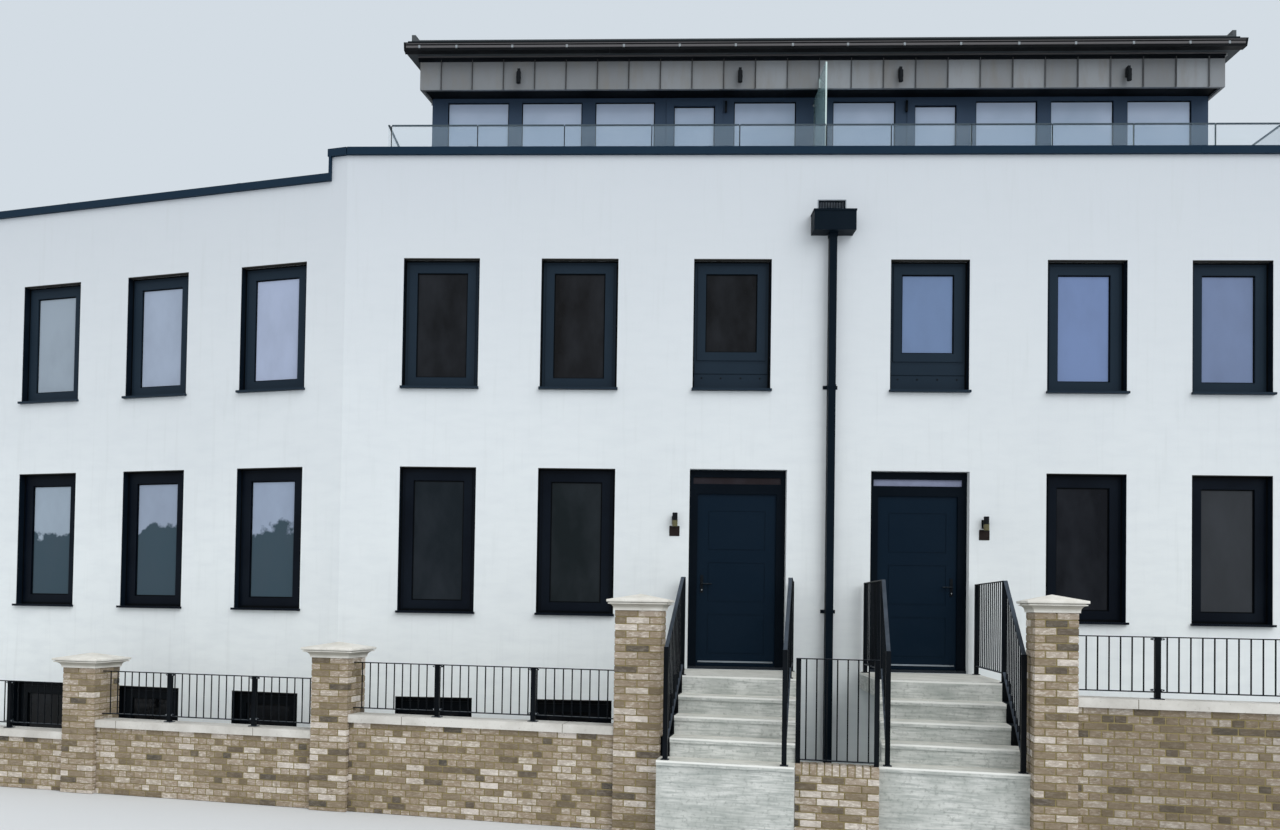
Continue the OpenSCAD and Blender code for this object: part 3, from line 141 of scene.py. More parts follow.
NODE_FINISH = {
    "render": ["lower_ground_wall", "ground_wall_left", "ground_wall_centre",
               "ground_wall_right", "upper_front_wall", "wing_wall", "rear_wall",
               "roof_party_parapet"],
    "party": ["wing_end_wall", "right_party_wall"],
    "screed": ["base_slab", "ground_floor", "first_floor"],
    "paving": ["roof_deck"],
    "coping_coat": ["parapet_copings"],
    "frame_coat": ["front_window_frames", "rear_window_frames", "window_sills",
                   "penthouse_frames"],
    "door_frame_coat": ["door_jambs", "door_heads"],
    "window_glass": ["front_window_glass"],
    "transom_glass": ["transom_glass"],
    "rear_glass": ["rear_window_glass"],
    "threshold": ["door_thresholds"],
    "steel": ["door_hinges"],
    "door_coat": ["left_door", "right_door"],
    "handle": ["left_door_fittings", "right_door_fittings"],
    "pent_glass": ["penthouse_glass"],
    "zinc": ["penthouse_side_walls", "penthouse_rear_wall", "penthouse_fascia"],
    "soffit_coat": ["penthouse_soffit"],
    "roof": ["penthouse_roof"],
    "gutter_coat": ["eaves_gutter"],
    "channel": ["balustrade_channel"],
    "rail_glass": ["balustrade_glass"],
    "screen_glass": ["privacy_screen"],
    "pipe_coat": ["hopper_head", "outlet_grille", "downpipe"],
    "concrete": ["left_steps", "right_steps", "left_landing", "right_landing"],
    "rail_coat": ["left_stair_railings", "right_stair_railings",
                  "boundary_railings"],
    "stone": ["boundary_copings"],
    "caps": ["pier_caps"],
    "brick": ["boundary_walls", "boundary_piers"],
    "lamp": ["wall_lights"],
}


def linear(code):
    """Turns an sRGB hex colour into linear RGBA."""
    parts = [int(code[i:i + 2], 16) / 255 for i in (1, 3, 5)]
    return [c / 12.92 if c <= 0.04045 else ((c + 0.055) / 1.055) ** 2.4
            for c in parts] + [1.0]


def hue(label, words, code):
    return bpy.props.FloatVectorProperty(
        name=label, description=words, default=linear(code), size=4,
        min=0.0, max=1.0, subtype="COLOR")


def size(label, words, metres):
    return bpy.props.FloatProperty(
        name=label, description=words, default=metres, min=0.0,
        precision=4, unit="LENGTH")


def strength(label, words, value):
    return bpy.props.FloatProperty(
        name=label, description=words, default=value, min=0.0)


# Settings

class BrickSizes(bpy.types.PropertyGroup):
    course: size("Course", "Height of one brick and its bed joint", 0.0732)
    stretcher: size("Stretcher", "Length of one brick and its joint", 0.216)
    joint: size("Joint", "Width of a mortar joint", 0.010)
    recess: size("Recess", "How far the mortar stands behind the bricks", 0.006)
    arris: size("Arris", "Rounding of a brick's edges", 0.004)


class TrimSizes(bpy.types.PropertyGroup):
    bead: size("Bead", "Face width of the glazing beads", 0.014)
    seal: size("Seal", "Face width of the seals round the frames", 0.022)
    sheet: size("Sheet", "Thickness of the folded sheet under a lintel", 0.002)
    clip: size("Clip", "Width of a gutter clip", 0.028)
    strap: size("Strap", "Width of the straps over the coping joints", 0.050)
    weather_bar: size("Weather bar", "Height of the doors' weather bars", 0.020)
    plate: size("Plate", "Side of the bare plates beside the doors", 0.128)


class Finishes(bpy.types.PropertyGroup):
    # The render is painted paler near the ground, as painted light against the shade
    # there, and darker under the parapet
    render: hue("Render", "Wall render near the ground", "#e5ecee")
    render_dull: hue("Top render", "Wall render under the parapet", "#c1c8d0")
    frames: hue("Frames", "Powder coat of the window frames", "#1c2935")
    copings: hue("Copings", "Powder coat of the parapet copings", "#12283a")
    doors: hue("Doors", "Satin coat of the door leaves", "#0a1a28")
    railings: hue("Railings", "Black coat of the railings", "#05090e")
    zinc: hue("Zinc", "Fascia and walls of the penthouse", "#979ca1")
    # The gutter is near black: its own dark grey, deepened as painted shade of its
    # underside
    gutter: hue("Gutter", "Gutter and eaves", "#0b0d10")
    concrete: hue("Concrete", "Steps and landings", "#d6d9d6")
    stone: hue("Stone", "Wall copings", "#d8d7d2")
    mortar: hue("Mortar", "Bed and cross joints", "#8c8059")


class Studio(bpy.types.PropertyGroup):
    floor: hue("Floor", "Plain floor under the houses", "#d3d7da")
    sky: hue("Backdrop", "Plain backdrop behind the houses", "#d3dce4")
    sky_light: strength("Sky light", "Strength of the even light from all round",
                        0.93)
    key_light: strength("Key light", "Strength of the soft light from the right",
                        1.3)


# Nodes and shapes

def add(tree, kind, links=None, out=None, stops=(), steps=False, **settings):
    """Adds one node with its settings, and its sockets' values or sources.
    Gives the named output, or else the first one in use."""
    node = tree.nodes.new(kind)
    for key, value in settings.items():
        setattr(node, key, value)
    if steps:
        node.color_ramp.interpolation = "CONSTANT"
    for _ in stops[2:]:
        node.color_ramp.elements.new(0.5)
    for index, (position, code) in enumerate(stops):
        node.color_ramp.elements[index].position = position
        node.color_ramp.elements[index].color = linear(code)
    for socket, value in (links or {}).items():
        if isinstance(value, bpy.types.NodeSocket):
            tree.links.new(value, node.inputs[socket])
        else:
            node.inputs[socket].default_value = (
                linear(value) if isinstance(value, str) else value)
    return node.outputs[out] if out else next(
        (socket for socket in node.outputs if socket.enabled), None)


def new_finish(name, **sockets):
    """A material named for its finish, with its shader's own settings."""
    finish = bpy.data.materials.new(name)
    finish.use_nodes = True
    shader = finish.node_tree.nodes["Principled BSDF"]
    for key, value in sockets.items():
        shader.inputs[key.replace("_", " ")].default_value = value
    return finish, finish.node_tree


def finished(finish, colour, relief=None, **sockets):
    """Gives a material its colour, its relief (a pattern, its depth in metres
    and its strength) and what its other sockets vary by."""
    tree = finish.node_tree
    sockets["Base Color"] = colour
    if relief:
        sockets["Normal"] = add(tree, "ShaderNodeBump", dict(zip(
            ("Height", "Distance", "Strength"), relief)))
    for key, source in sockets.items():
        tree.links.new(source, tree.nodes["Principled BSDF"].inputs[key])
    return finish


def place(tree, turn=0.0, scale=(1, 1, 1), shift=(0, 0, 0)):
    """Object coordinates, turned and stretched where a pattern needs it."""
    return add(tree, "ShaderNodeMapping", {
        "Vector": add(tree, "ShaderNodeTexCoord", out="Object"),
        "Rotation": (0, 0, turn), "Scale": scale, "Location": shift})


def cloud(tree, width, detail=3.0, rough=0.55, **placing):
    """A soft pattern whose patches are about the given width in metres."""
    return add(tree, "ShaderNodeTexNoise", {
        "Vector": place(tree, **placing), "Scale": 1.0 / width,
        "Detail": detail, "Roughness": rough})


def spot(tree, axis, turn=0.0):
    """Where a point of the surface lies along an axis, in metres."""
    return add(tree, "ShaderNodeSeparateXYZ", {"Vector": place(tree, turn)}, axis)


def facing(tree, axis):
    """How far the surface looks along an axis, from -1 to 1."""
    return add(tree, "ShaderNodeSeparateXYZ", {
        "Vector": add(tree, "ShaderNodeNewGeometry", out="Normal")}, axis)


def layered(tree, colour, *layers):
    """Lays colours over each other. Each layer has its colour and a pattern:
    as it is, or by how far it has risen between two limits, from the least
    to the most that it covers."""
    for over, pattern, *limits in layers:
        if limits:
            pattern = add(tree, "ShaderNodeMapRange",
                          dict(enumerate((pattern, *limits))))
        colour = add(tree, "ShaderNodeMix", {0: pattern, 6: colour, 7: over},
                     data_type="RGBA")
    return colour


def both(tree, *patterns):
    """Two patterns multiplied, each risen between its own limits."""
    risen = [add(tree, "ShaderNodeMapRange", dict(enumerate(pattern)))
             for pattern in patterns]
    return add(tree, "ShaderNodeMath", dict(enumerate(risen)),
               operation="MULTIPLY")


def at(x, y, z):
    return Matrix.Translation((x, y, z))


def deselect():
    if bpy.context.object and bpy.context.object.mode != "OBJECT":
        bpy.ops.object.mode_set(mode="OBJECT")
    bpy.ops.object.select_all(action="DESELECT")


def keep_place(piece):
    bpy.ops.object.transform_apply(location=True, rotation=True, scale=True)
    return piece


def start_box(name, low, high):
    """A cube primitive at its size and place, ready to be shaped."""
    deselect()
    middle = [(a + b) / 2 for a, b in zip(low, high)]
    extent = [b - a for a, b in zip(low, high)]
    bpy.ops.mesh.primitive_cube_add(size=1, location=middle, scale=extent)
    piece = bpy.context.object
    piece.name = name
    return keep_place(piece)


def pick(piece, test, kind="EDGE"):
    """Selects the edges or faces that pass a test, in edit mode."""
    bpy.ops.object.mode_set(mode="EDIT")
    bpy.ops.mesh.select_mode(type=kind)
    bpy.ops.mesh.select_all(action="DESELECT")
    mesh = bmesh.from_edit_mesh(piece.data)
    mesh.normal_update()
    for item in (mesh.edges if kind == "EDGE" else mesh.faces):
        item.select_set(bool(test(item)))
    mesh.select_flush_mode()
    bmesh.update_edit_mesh(piece.data)


def lies(edge, axis, low=-math.inf, high=math.inf):
    """Whether both ends of an edge lie between two places along an axis."""
    return all(low < vertex.co[axis] < high for vertex in edge.verts)


def runs(edge, axis, least=0.004):
    """Whether an edge runs along an axis."""
    a, b = (vertex.co[axis] for vertex in edge.verts)
    return abs(a - b) > least


def round_edges(piece, width, rounds=2, test=lambda edge: True):
    pick(piece, test)
    bpy.ops.mesh.bevel(offset=width, segments=rounds, affect="EDGES")
    bpy.ops.object.mode_set(mode="OBJECT")
    return piece


def soft_box(name, low, high, width, rounds=1):
    """A box with all its edges rounded."""
    return round_edges(start_box(name, low, high), width, rounds)


def fold_sheet(piece, test, thick):
    """Opens a box by the faces that pass a test and makes it sheet metal."""
    pick(piece, test, "FACE")
    bpy.ops.mesh.delete(type="FACE")
    bpy.ops.object.mode_set(mode="OBJECT")
    sheet = piece.modifiers.new("sheet", "SOLIDIFY")
    sheet.thickness, sheet.offset = thick, -1.0
    bpy.ops.object.modifier_apply(modifier=sheet.name)
    return piece


def push(way, distance):
    """Extrudes what is selected along a way: 1 is y and 2 is z."""
    move = [distance if axis == way else 0 for axis in range(3)]
    bpy.ops.mesh.extrude_region_move(TRANSFORM_OT_translate={"value": move})


def close_up():
    """Turns all the faces of the piece in edit mode outwards, and ends that."""
    bpy.ops.mesh.select_all(action="SELECT")
    bpy.ops.mesh.normals_make_consistent(inside=False)
    bpy.ops.object.mode_set(mode="OBJECT")


def join(name, parts):
    deselect()
    for part in parts:
        part.select_set(True)
    bpy.context.view_layer.objects.active = parts[0]
    bpy.ops.object.join()
    parts[0].name = name
    return parts[0]


def copies(name, model, places, tones=None):
    """One mesh of many copies of a model, each with its own tone if tones are
    given. A place is a matrix, or a matrix with the width and height that a
    ring is drawn out to."""
    corners = [v.co.copy() for v in model.data.vertices]
    faces = [tuple(p.vertices) for p in model.data.polygons]
    points, polygons = [], []
    for matrix in places:
        matrix, wide, high = (matrix, 1, 1) if isinstance(matrix, Matrix) else matrix
        first = len(points)
        points.extend(matrix @ Vector((
            c.x + (wide - 1) * (c.x > 0.5), c.y, c.z + (high - 1) * (c.z > 0.5)))
            for c in corners)
        for face in faces:
            ring = [first + i for i in face]
            polygons.append(ring[::-1] if matrix.determinant() < 0 else ring)
    mesh = bpy.data.meshes.new(name)
    mesh.from_pydata(points, [], polygons)
    if tones:
        values = [tone for tone in tones for _ in corners]
        mesh.attributes.new("tone", "FLOAT", "POINT").data.foreach_set(
            "value", values)
    piece = bpy.data.objects.new(name, mesh)
    bpy.context.scene.collection.objects.link(piece)
    bpy.data.objects.remove(model, do_unlink=True)
    return piece


def fit(piece, key, body=BUILDING, smooth=None):
    """Gives a new piece its finish and the body it rides on."""
    piece.data.materials.clear()
    piece.data.materials.append(finish_for(key))
    if smooth is not None:
        deselect()
        piece.select_set(True)
        bpy.context.view_layer.objects.active = piece
        bpy.ops.object.shade_smooth_by_angle(angle=math.radians(smooth))
    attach(piece, body)
    return piece


def solids_of(node):
    """The corner points of each separate solid of a CAD node."""
    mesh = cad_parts[node].data
    keys = [tuple(round(c, 4) for c in v.co) for v in mesh.vertices]
    parent = {key: key for key in keys}

    def root(key):
        while parent[key] != key:
            parent[key] = parent[parent[key]]
            key = parent[key]
        return key

    for polygon in mesh.polygons:
        first = root(keys[polygon.vertices[0]])
        for index in polygon.vertices[1:]:
            parent[root(keys[index])] = first
    groups = {}
    for key in sorted(set(keys)):
        groups.setdefault(root(key), []).append(Vector(key))
    return sorted(groups.values(), key=lambda g: tuple(min(g, key=tuple)))


def pane_places(node, outward):
    """The outer face of each pane of a node: its matrix, width and height."""
    for corners in solids_of(node):
        low = min(c.z for c in corners)
        plan = sorted({(round(c.x, 4), round(c.y, 4)) for c in corners})
        first = Vector((*plan[0], low))
        # The longest gap is the diagonal, and the next one is the width
        along = sorted((Vector((*p, low)) - first for p in plan[1:]),
                       key=lambda gap: gap.length)[-2]
        width = along.length
        along.normalize()
        if along.x < 0:
            first, along = first + along * width, -along
        out = Vector((along.y, -along.x, 0))
        if out.y * outward < 0:
            out = -out
        origin = first + out * max((c - first).dot(out) for c in corners)
        yield (Matrix(((along.x, -out.x, 0, origin.x),
                       (along.y, -out.y, 0, origin.y),
                       (0, 0, 1, low), (0, 0, 0, 1))),
               width, max(c.z for c in corners) - low)


# Finishes

def paint_render(near, dull):
    # Silicone render, sponge floated: dead matt, with soft patches, a sandy
    # grain and faint rain marks. The 2 mm grain is drawn 9 mm coarse to show.
    finish, tree = new_finish("floated_render", Roughness=0.9,
                              Specular_IOR_Level=0.25)
    height = spot(tree, "Z")
    splash = both(tree, (height, *SPLASHED, 1.0, 0.0),
                  (cloud(tree, 0.22, 5.0), 0.35, 0.7, 0.1, 0.8))
    # Paler near the ground: painted light against the shade of the street wall and
    # the floor; darker towards the top
    colour = layered(
        tree, near, (dull, height, *RENDER_RAMP),
        ("#cad1d6", cloud(tree, 1.9), 0.4, 0.72, 0.0, 0.3),
        ("#c3cbd2", cloud(tree, 0.35, 4.0, scale=(1, 1, 3.2)), 0.42, 0.75, 0.0, 0.22),
        ("#b4bbbd", cloud(tree, 0.07, 2.0, scale=(1, 1, 0.06)), 0.56, 0.8, 0.0, 0.16),
        ("#a9a89f", splash))
    waves = add(tree, "ShaderNodeMath", {
        0: cloud(tree, 0.45, 2.0), 1: 2.5, 2: cloud(tree, 0.009, 2.0)},
        operation="MULTIPLY_ADD")
    return finished(finish, colour, (waves, 0.0018, 0.55))


def paint_coat(name, colour, shine=0.42, level=0.22, dust_and_sheen="#4a545d", well_shade=0.0,
               storeys=()):
    # Polyester powder coat: satin, with a fine orange peel, a little dust in
    # patches, and faces that look up painted paler, partly as dust and partly as a
    # painted reflection of the sky. The 1 mm peel is drawn 6 mm coarse to show. In
    # the window wells under the street wall's top it is painted dark, as painted
    # shade. Storeys gives a darker tone for the ground floor, as painted shade and a
    # painted reflection of the dark street, and a paler, bluer one for the top, as
    # painted light against the shade of the eaves.
    finish, tree = new_finish(name, Roughness=shine, Specular_IOR_Level=level)
    height = spot(tree, "Z")
    # Storey tones: darker low down as painted shade and a painted reflection of the
    # street, paler at the top as painted light against the eaves' shade
    if storeys:
        colour = layered(tree, storeys[0], (colour, height, *STOREY_LINES[0]),
                         (storeys[1], height, *STOREY_LINES[1]))
    # Faces that look up: partly dust, partly a painted reflection of the sky
    tops_dust_and_sheen = both(tree, (facing(tree, "Z"), 0.35, 0.85, 0.0, 0.7),
                   (cloud(tree, 0.12, 5.0), 0.3, 0.7, 0.6, 1.0))
    # Below the window wells' line the coat is painted dark, as painted shade
    colour = layered(tree, colour,
                     (dust_and_sheen, cloud(tree, 0.6), 0.4, 0.7, 0.0, 0.06),
                     (dust_and_sheen, tops_dust_and_sheen), ("#04080c", height, *WELLS, well_shade, 0.0))
    smears = add(tree, "ShaderNodeMapRange", {
        0: cloud(tree, 0.3, 4.0), 1: 0.3, 2: 0.7, 3: shine - 0.06, 4: shine + 0.1})
    return finished(finish, colour, (cloud(tree, 0.006, 1.0), 0.0003, 0.35),
                    Roughness=smears)


def paint_brick():
    # Stock bricks of mixed firings: buff, pale and dark ones, sandy and
    # creased with lime, so each has its own tone and a mottled face. The
    # wall right of the steps is painted darker.
    finish, tree = new_finish("mixed_stock_brick", Roughness=0.88,
                              Specular_IOR_Level=0.2)
    tone = add(tree, "ShaderNodeAttribute", out="Fac", attribute_name="tone")
    firing = add(tree, "ShaderNodeValToRGB", {"Fac": tone}, stops=[
        (0.0, "#4f4b45"), (0.09, "#5f564c"), (0.14, "#736754"), (0.26, "#837663"),
        (0.42, "#908270"), (0.58, "#9c8d7b"), (0.72, "#a5988a"), (0.82, "#b2a79a"),
        (0.92, "#c2b9b0"), (1.0, "#d2cac3")])
    burns = cloud(tree, 0.055, 5.0, 0.6, scale=(1, 1, 1.4), shift=(3, 5, 1))
    # Lime creases: pale, ragged and level, strongest on the paler bricks
    creases = cloud(tree, 0.045, 6.0, 0.72, scale=(0.8, 0.8, 2.6))
    lime = both(tree, (creases, 0.5, 0.6, 0.0, 0.85), (tone, 0.3, 0.95, 0.12, 1.0))
    colour = layered(
        tree, firing, ("#877a64", cloud(tree, 0.11, 4.0), 0.4, 0.7, 0.0, 0.4),
        ("#5f5443", burns, 0.54, 0.72, 0.0, 0.5), ("#e0dad0", lime),
        ("#5c5244", spot(tree, "X"), *DARKER_RIGHT_WALL, 0.0, 0.34))
    return finished(finish, colour, (creases, 0.004, 0.6))


def paint_mortar(colour):
    # Lime and sand mortar, brushed off flush: matt and gritty
    finish, tree = new_finish("sand_mortar", Roughness=0.95)
    colour = layered(
        tree, colour, ("#766b49", cloud(tree, 0.16, 4.0), 0.35, 0.7),
        ("#aa9d74", cloud(tree, 0.02, 4.0), 0.55, 0.8, 0.0, 0.5))
    return finished(finish, colour, (cloud(tree, 0.008, 3.0), 0.002, 0.6))


def paint_stone(colour):
    # Cast stone: fine and dense, weathered grey in patches, dark in the
    # joints between its lengths
    finish, tree = new_finish("weathered_cast_stone", Roughness=0.8,
                              Specular_IOR_Level=0.3)
    specks = cloud(tree, 0.025, 6.0, 0.7, turn=-STREET_TURN)
    length = add(tree, "ShaderNodeMath", {
        0: spot(tree, "X", -STREET_TURN), 1: STONE_LENGTH, 2: 0.0},
        operation="WRAP")
    joint = add(tree, "ShaderNodeMath", {0: length, 1: 0.007},
                operation="LESS_THAN")
    patches = cloud(tree, 0.4, 4.0, turn=-STREET_TURN)
    colour = layered(tree, colour, ("#bfbdb7", patches, 0.36, 0.66),
                     ("#7f7b6e", specks, 0.6, 0.72, 0.0, 0.5),
                     ("#dcdad2", specks, 0.28, 0.4, 0.35, 0.0),
                     ("#6f6a5e", joint))
    return finished(finish, colour, (specks, 0.0015, 0.5))


def paint_caps():
    # The same cast stone on the piers, cleaner, with rain-washed edges, and
    # painted shade on the faces that look down, under the moulding
    finish, tree = new_finish("pier_cap_stone", Roughness=0.82,
                              Specular_IOR_Level=0.3)
    specks = cloud(tree, 0.02, 6.0, 0.7)
    colour = layered(
        tree, "#e2e1db", ("#cccac2", cloud(tree, 0.2, 4.0), 0.35, 0.7),
        ("#857f70", facing(tree, "Z"), -0.05, -0.5, 0.0, 0.65),
        ("#8d8778", specks, 0.58, 0.74, 0.0, 0.45))
    return finished(finish, colour, (specks, 0.0015, 0.5))


def paint_concrete(colour):
    # Cast concrete stained by feet and rain, with the marks of its boards
    # and paler, worn edges to the treads
    finish, tree = new_finish("board_marked_concrete", Roughness=0.85,
                              Specular_IOR_Level=0.3)
    height = spot(tree, "Z", -STREET_TURN)
    stains = cloud(tree, 0.28, 5.0, turn=-STREET_TURN)
    boards = cloud(tree, 0.12, 5.0, turn=-STREET_TURN, scale=(0.5, 1, 6))
    spots = cloud(tree, 0.035, 6.0, 0.65, turn=-STREET_TURN)
    # Height over the riser's foot, counted up from ten risers under the street
    lowest = STREET_Z - 10 * RISER - 0.002
    raised = add(tree, "ShaderNodeMath", {0: height, 1: lowest},
                 operation="SUBTRACT")
    riser = add(tree, "ShaderNodeMath", {0: raised, 1: RISER}, operation="MODULO")
    worn = both(tree, (riser, *NOSING, 0.0, 0.95),
                (height, STREET_Z + 0.02, STREET_Z + 0.03))
    colour = layered(tree, colour, ("#b4b9b5", stains, 0.35, 0.68),
                     ("#9aa19e", boards, 0.42, 0.66, 0.0, 0.75),
                     ("#7f8581", spots, 0.54, 0.68, 0.0, 0.5), ("#f0f2ee", worn),
                     ("#e0ded4", facing(tree, "Z"), 0.5, 0.9, 0.0, 0.45))
    return finished(finish, colour, (spots, 0.002, 0.5))


def paint_screed():
    # Power-floated floor screed, pale grey with soft cloudy marks
    finish, tree = new_finish("floor_screed", Roughness=0.7)
    colour = layered(tree, "#a3a4a1", ("#8d8f8d", cloud(tree, 0.8, 5.0), 0.35, 0.7))
    return finished(finish, colour, (cloud(tree, 0.02, 3.0), 0.001, 0.3))


def paint_paving():
    # Terrace paving: 450 mm porcelain slabs with open 5 mm joints
    finish, tree = new_finish("terrace_paving", Roughness=0.6)
    slabs = add(tree, "ShaderNodeTexBrick", {
        "Vector": place(tree), "Color1": "#878b8c", "Color2": "#7b7f81",
        "Mortar": "#3d4042", "Scale": 1.0, "Mortar Size": 0.0045,
        "Brick Width": 0.45, "Row Height": 0.45, "Bias": 0.0}, offset=0.0)
    colour = layered(tree, slabs, (
        "#9a9d9c", cloud(tree, 0.15, 5.0), 0.4, 0.75, 0.0, 0.4))
    return finished(finish, colour, (slabs.node.outputs["Fac"], -0.004, 0.8))


def paint_party():
    # Common brick party walls, left bare where the next houses join
    finish, tree = new_finish("common_brick", Roughness=0.9)
    flat = add(tree, "ShaderNodeCombineXYZ", {
        "X": spot(tree, "Y"), "Y": spot(tree, "Z"), "Z": 0.0})
    bricks = add(tree, "ShaderNodeTexBrick", {
        "Vector": flat, "Color1": "#a3886b", "Color2": "#85705b",
        "Mortar": "#9c9684", "Scale": 1.0, "Mortar Size": 0.005,
        "Brick Width": 0.225, "Row Height": 0.075, "Bias": 0.1})
    colour = layered(tree, bricks, (
        "#6d5d4e", cloud(tree, 0.05, 5.0), 0.4, 0.75, 0.0, 0.5))
    return finished(finish, colour, (bricks.node.outputs["Fac"], -0.005, 0.9))


def paint_zinc(colour):
    # Pre-weathered zinc trays: dull grey-brown metal, each tray a little
    # different and slightly dished, with faint rain marks, and a painted shadow
    # along the seams of the faces that look to the front and back
    finish, tree = new_finish("standing_seam_zinc", Roughness=0.55, Metallic=0.35)
    tray = add(tree, "ShaderNodeCombineXYZ", {
        axis: add(tree, "ShaderNodeMath", {0: add(tree, "ShaderNodeMath", {
            0: spot(tree, axis), 1: SEAM_PITCH}, operation="DIVIDE")},
            operation="FLOOR") for axis in ("X", "Y")})
    own = add(tree, "ShaderNodeTexWhiteNoise", {"Vector": tray})
    marks = cloud(tree, 0.12, 4.0, scale=(1, 1, 0.25))
    front = add(tree, "ShaderNodeMath", {0: facing(tree, "Y")},
                operation="ABSOLUTE")
    # A dark line painted along each seam, as the seam's shadow
    off_seam = add(tree, "ShaderNodeMath", {
        0: spot(tree, "X"), 1: SEAM_PITCH / 2}, operation="PINGPONG")
    seam_shadow = both(tree, (off_seam, 0.007, 0.009, 0.9, 0.0), (front, 0.7, 0.8))
    colour = layered(tree, colour, ("#5c5d5e", own, 0.0, 1.0, 0.0, 0.55),
                     ("#86837d", marks, 0.45, 0.75, 0.0, 0.5), ("#2f2d2c", seam_shadow))
    worn = add(tree, "ShaderNodeMapRange", {
        0: marks, 1: 0.3, 2: 0.7, 3: 0.48, 4: 0.68})
    return finished(finish, colour, (cloud(tree, 0.22, 2.0), 0.006, 0.4),
                    Roughness=worn)


def paint_window_glass():
    # Sealed units with a faint mirror coat, coloured with painted reflections of
    # the sky and the street: brown and dark left of the middle, pale blue to the
    # right and on the wing
    finish, tree = new_finish("sealed_window_glass", Roughness=0.06,
                              Specular_IOR_Level=0.15)
    height = spot(tree, "Z")
    across = add(tree, "ShaderNodeMapRange", {
        0: spot(tree, "X"), 1: ROW_LEFT, 2: ROW_RIGHT})
    upper = add(tree, "ShaderNodeValToRGB", {"Fac": across}, stops=[
        (0.0, "#929fac"), (0.145, "#9ba8bc"), (0.24, "#a3afc8"), (0.325, "#0c0d10"),
        (0.45, "#0a090a"), (0.56, "#09090b"), (0.66, "#6a7fa2"), (0.79, "#7084ac"),
        (0.9, "#6f7f9f")], steps=True)
    lower = add(tree, "ShaderNodeValToRGB", {"Fac": across}, stops=[
        (0.0, "#97a6b5"), (0.145, "#8f9cb0"), (0.24, "#94a2b8"), (0.325, "#0f171d"),
        (0.45, "#0d1518"), (0.56, "#0b0f14"), (0.79, "#080a11"), (0.9, "#303337")],
        steps=True)
    storey = add(tree, "ShaderNodeMath", {0: height, 1: GLASS_STOREY},
                 operation="GREATER_THAN")
    # The wing's ground floor is darker below an uneven line, a painted reflection
    uneven = add(tree, "ShaderNodeMath", {0: height, 1: cloud(tree, 0.4, 4.0)},
                 operation="ADD")
    wing = add(tree, "ShaderNodeMath", {0: spot(tree, "X"), 1: WING_GLASS},
               operation="LESS_THAN")
    foot = add(tree, "ShaderNodeMapRange", {0: uneven, 1: 3.82, 2: 3.76})
    foot = add(tree, "ShaderNodeMath", {0: wing, 1: foot}, operation="MULTIPLY")
    # Low in the window wells the glass is painted near black, as painted shade
    low = add(tree, "ShaderNodeMath", {0: height, 1: sum(WELLS) / 2},
              operation="LESS_THAN")
    # Soft streaks of painted cloud reflection
    reflected_clouds = cloud(tree, 0.35, 4.0, scale=(1, 1, 0.5))
    colour = layered(tree, lower, (upper, storey), ("#384a55", foot),
                     ("#07090b", low), ("#4a4f58", reflected_clouds, 0.4, 0.75, 0.0, 0.16))
    return finished(finish, colour, (cloud(tree, 0.6, 1.0), 0.004, 0.25))


def paint_transom_glass():
    # Narrow units over the doors, coloured with painted reflections: brown and
    # dark on the left, pale on the right
    finish, tree = new_finish("transom_glass_unit", Roughness=0.06,
                              Specular_IOR_Level=0.15)
    right = add(tree, "ShaderNodeMath", {0: spot(tree, "X")},
                operation="GREATER_THAN")
    return finished(finish, layered(
        tree, "#221a1d", ("#878fa9", right),
        ("#3b3c46", cloud(tree, 0.3, 3.0), 0.4, 0.7, 0.0, 0.3)))


def paint_mirror_glass(name, top, foot, mirror, low, high):
    # Large sealed units with a solar coat that mirrors the light. Their blue is
    # a painted reflection of the sky, painted paler to the top as painted light
    # against the shade under the eaves.
    finish, tree = new_finish(name, Roughness=0.05, Metallic=mirror,
                              Specular_IOR_Level=0.35)
    drift = add(tree, "ShaderNodeMath", {
        0: cloud(tree, 0.9, 3.0), 1: 0.6, 2: spot(tree, "Z")},
        operation="MULTIPLY_ADD")
    return finished(finish, layered(tree, foot, (top, drift, low, high)),
                    (cloud(tree, 0.8, 1.0), 0.004, 0.25))


def paint_rail_glass(name, edge_axis, clear, light, dark):
    # Toughened rail glass: faint sea green and clear from in front, with
    # bright polished edges, which are the faces along the given axis: their green
    # is the glass's own and their brightness a painted highlight. The
    # panes at the two ends of the terrace are left plain.
    finish, tree = new_finish(name, Roughness=0.04, Specular_IOR_Level=0.5)
    side = add(tree, "ShaderNodeMath", {0: facing(tree, edge_axis)},
               operation="ABSOLUTE")
    side = add(tree, "ShaderNodeMapRange", {0: side, 1: 0.8, 2: 0.9})
    inner = add(tree, "ShaderNodeMath", {
        0: spot(tree, "X"), 1: 0.0, 2: TERRACE_END}, operation="COMPARE")
    edge = add(tree, "ShaderNodeMath", {0: side, 1: inner}, operation="MULTIPLY")
    colour = layered(tree, light, (dark, cloud(tree, 0.7, 3.0), 0.35, 0.7),
                     ("#cfe4e3", edge))
    return finished(finish, colour, Alpha=add(tree, "ShaderNodeMapRange", {
        0: edge, 3: clear, 4: 0.85}))


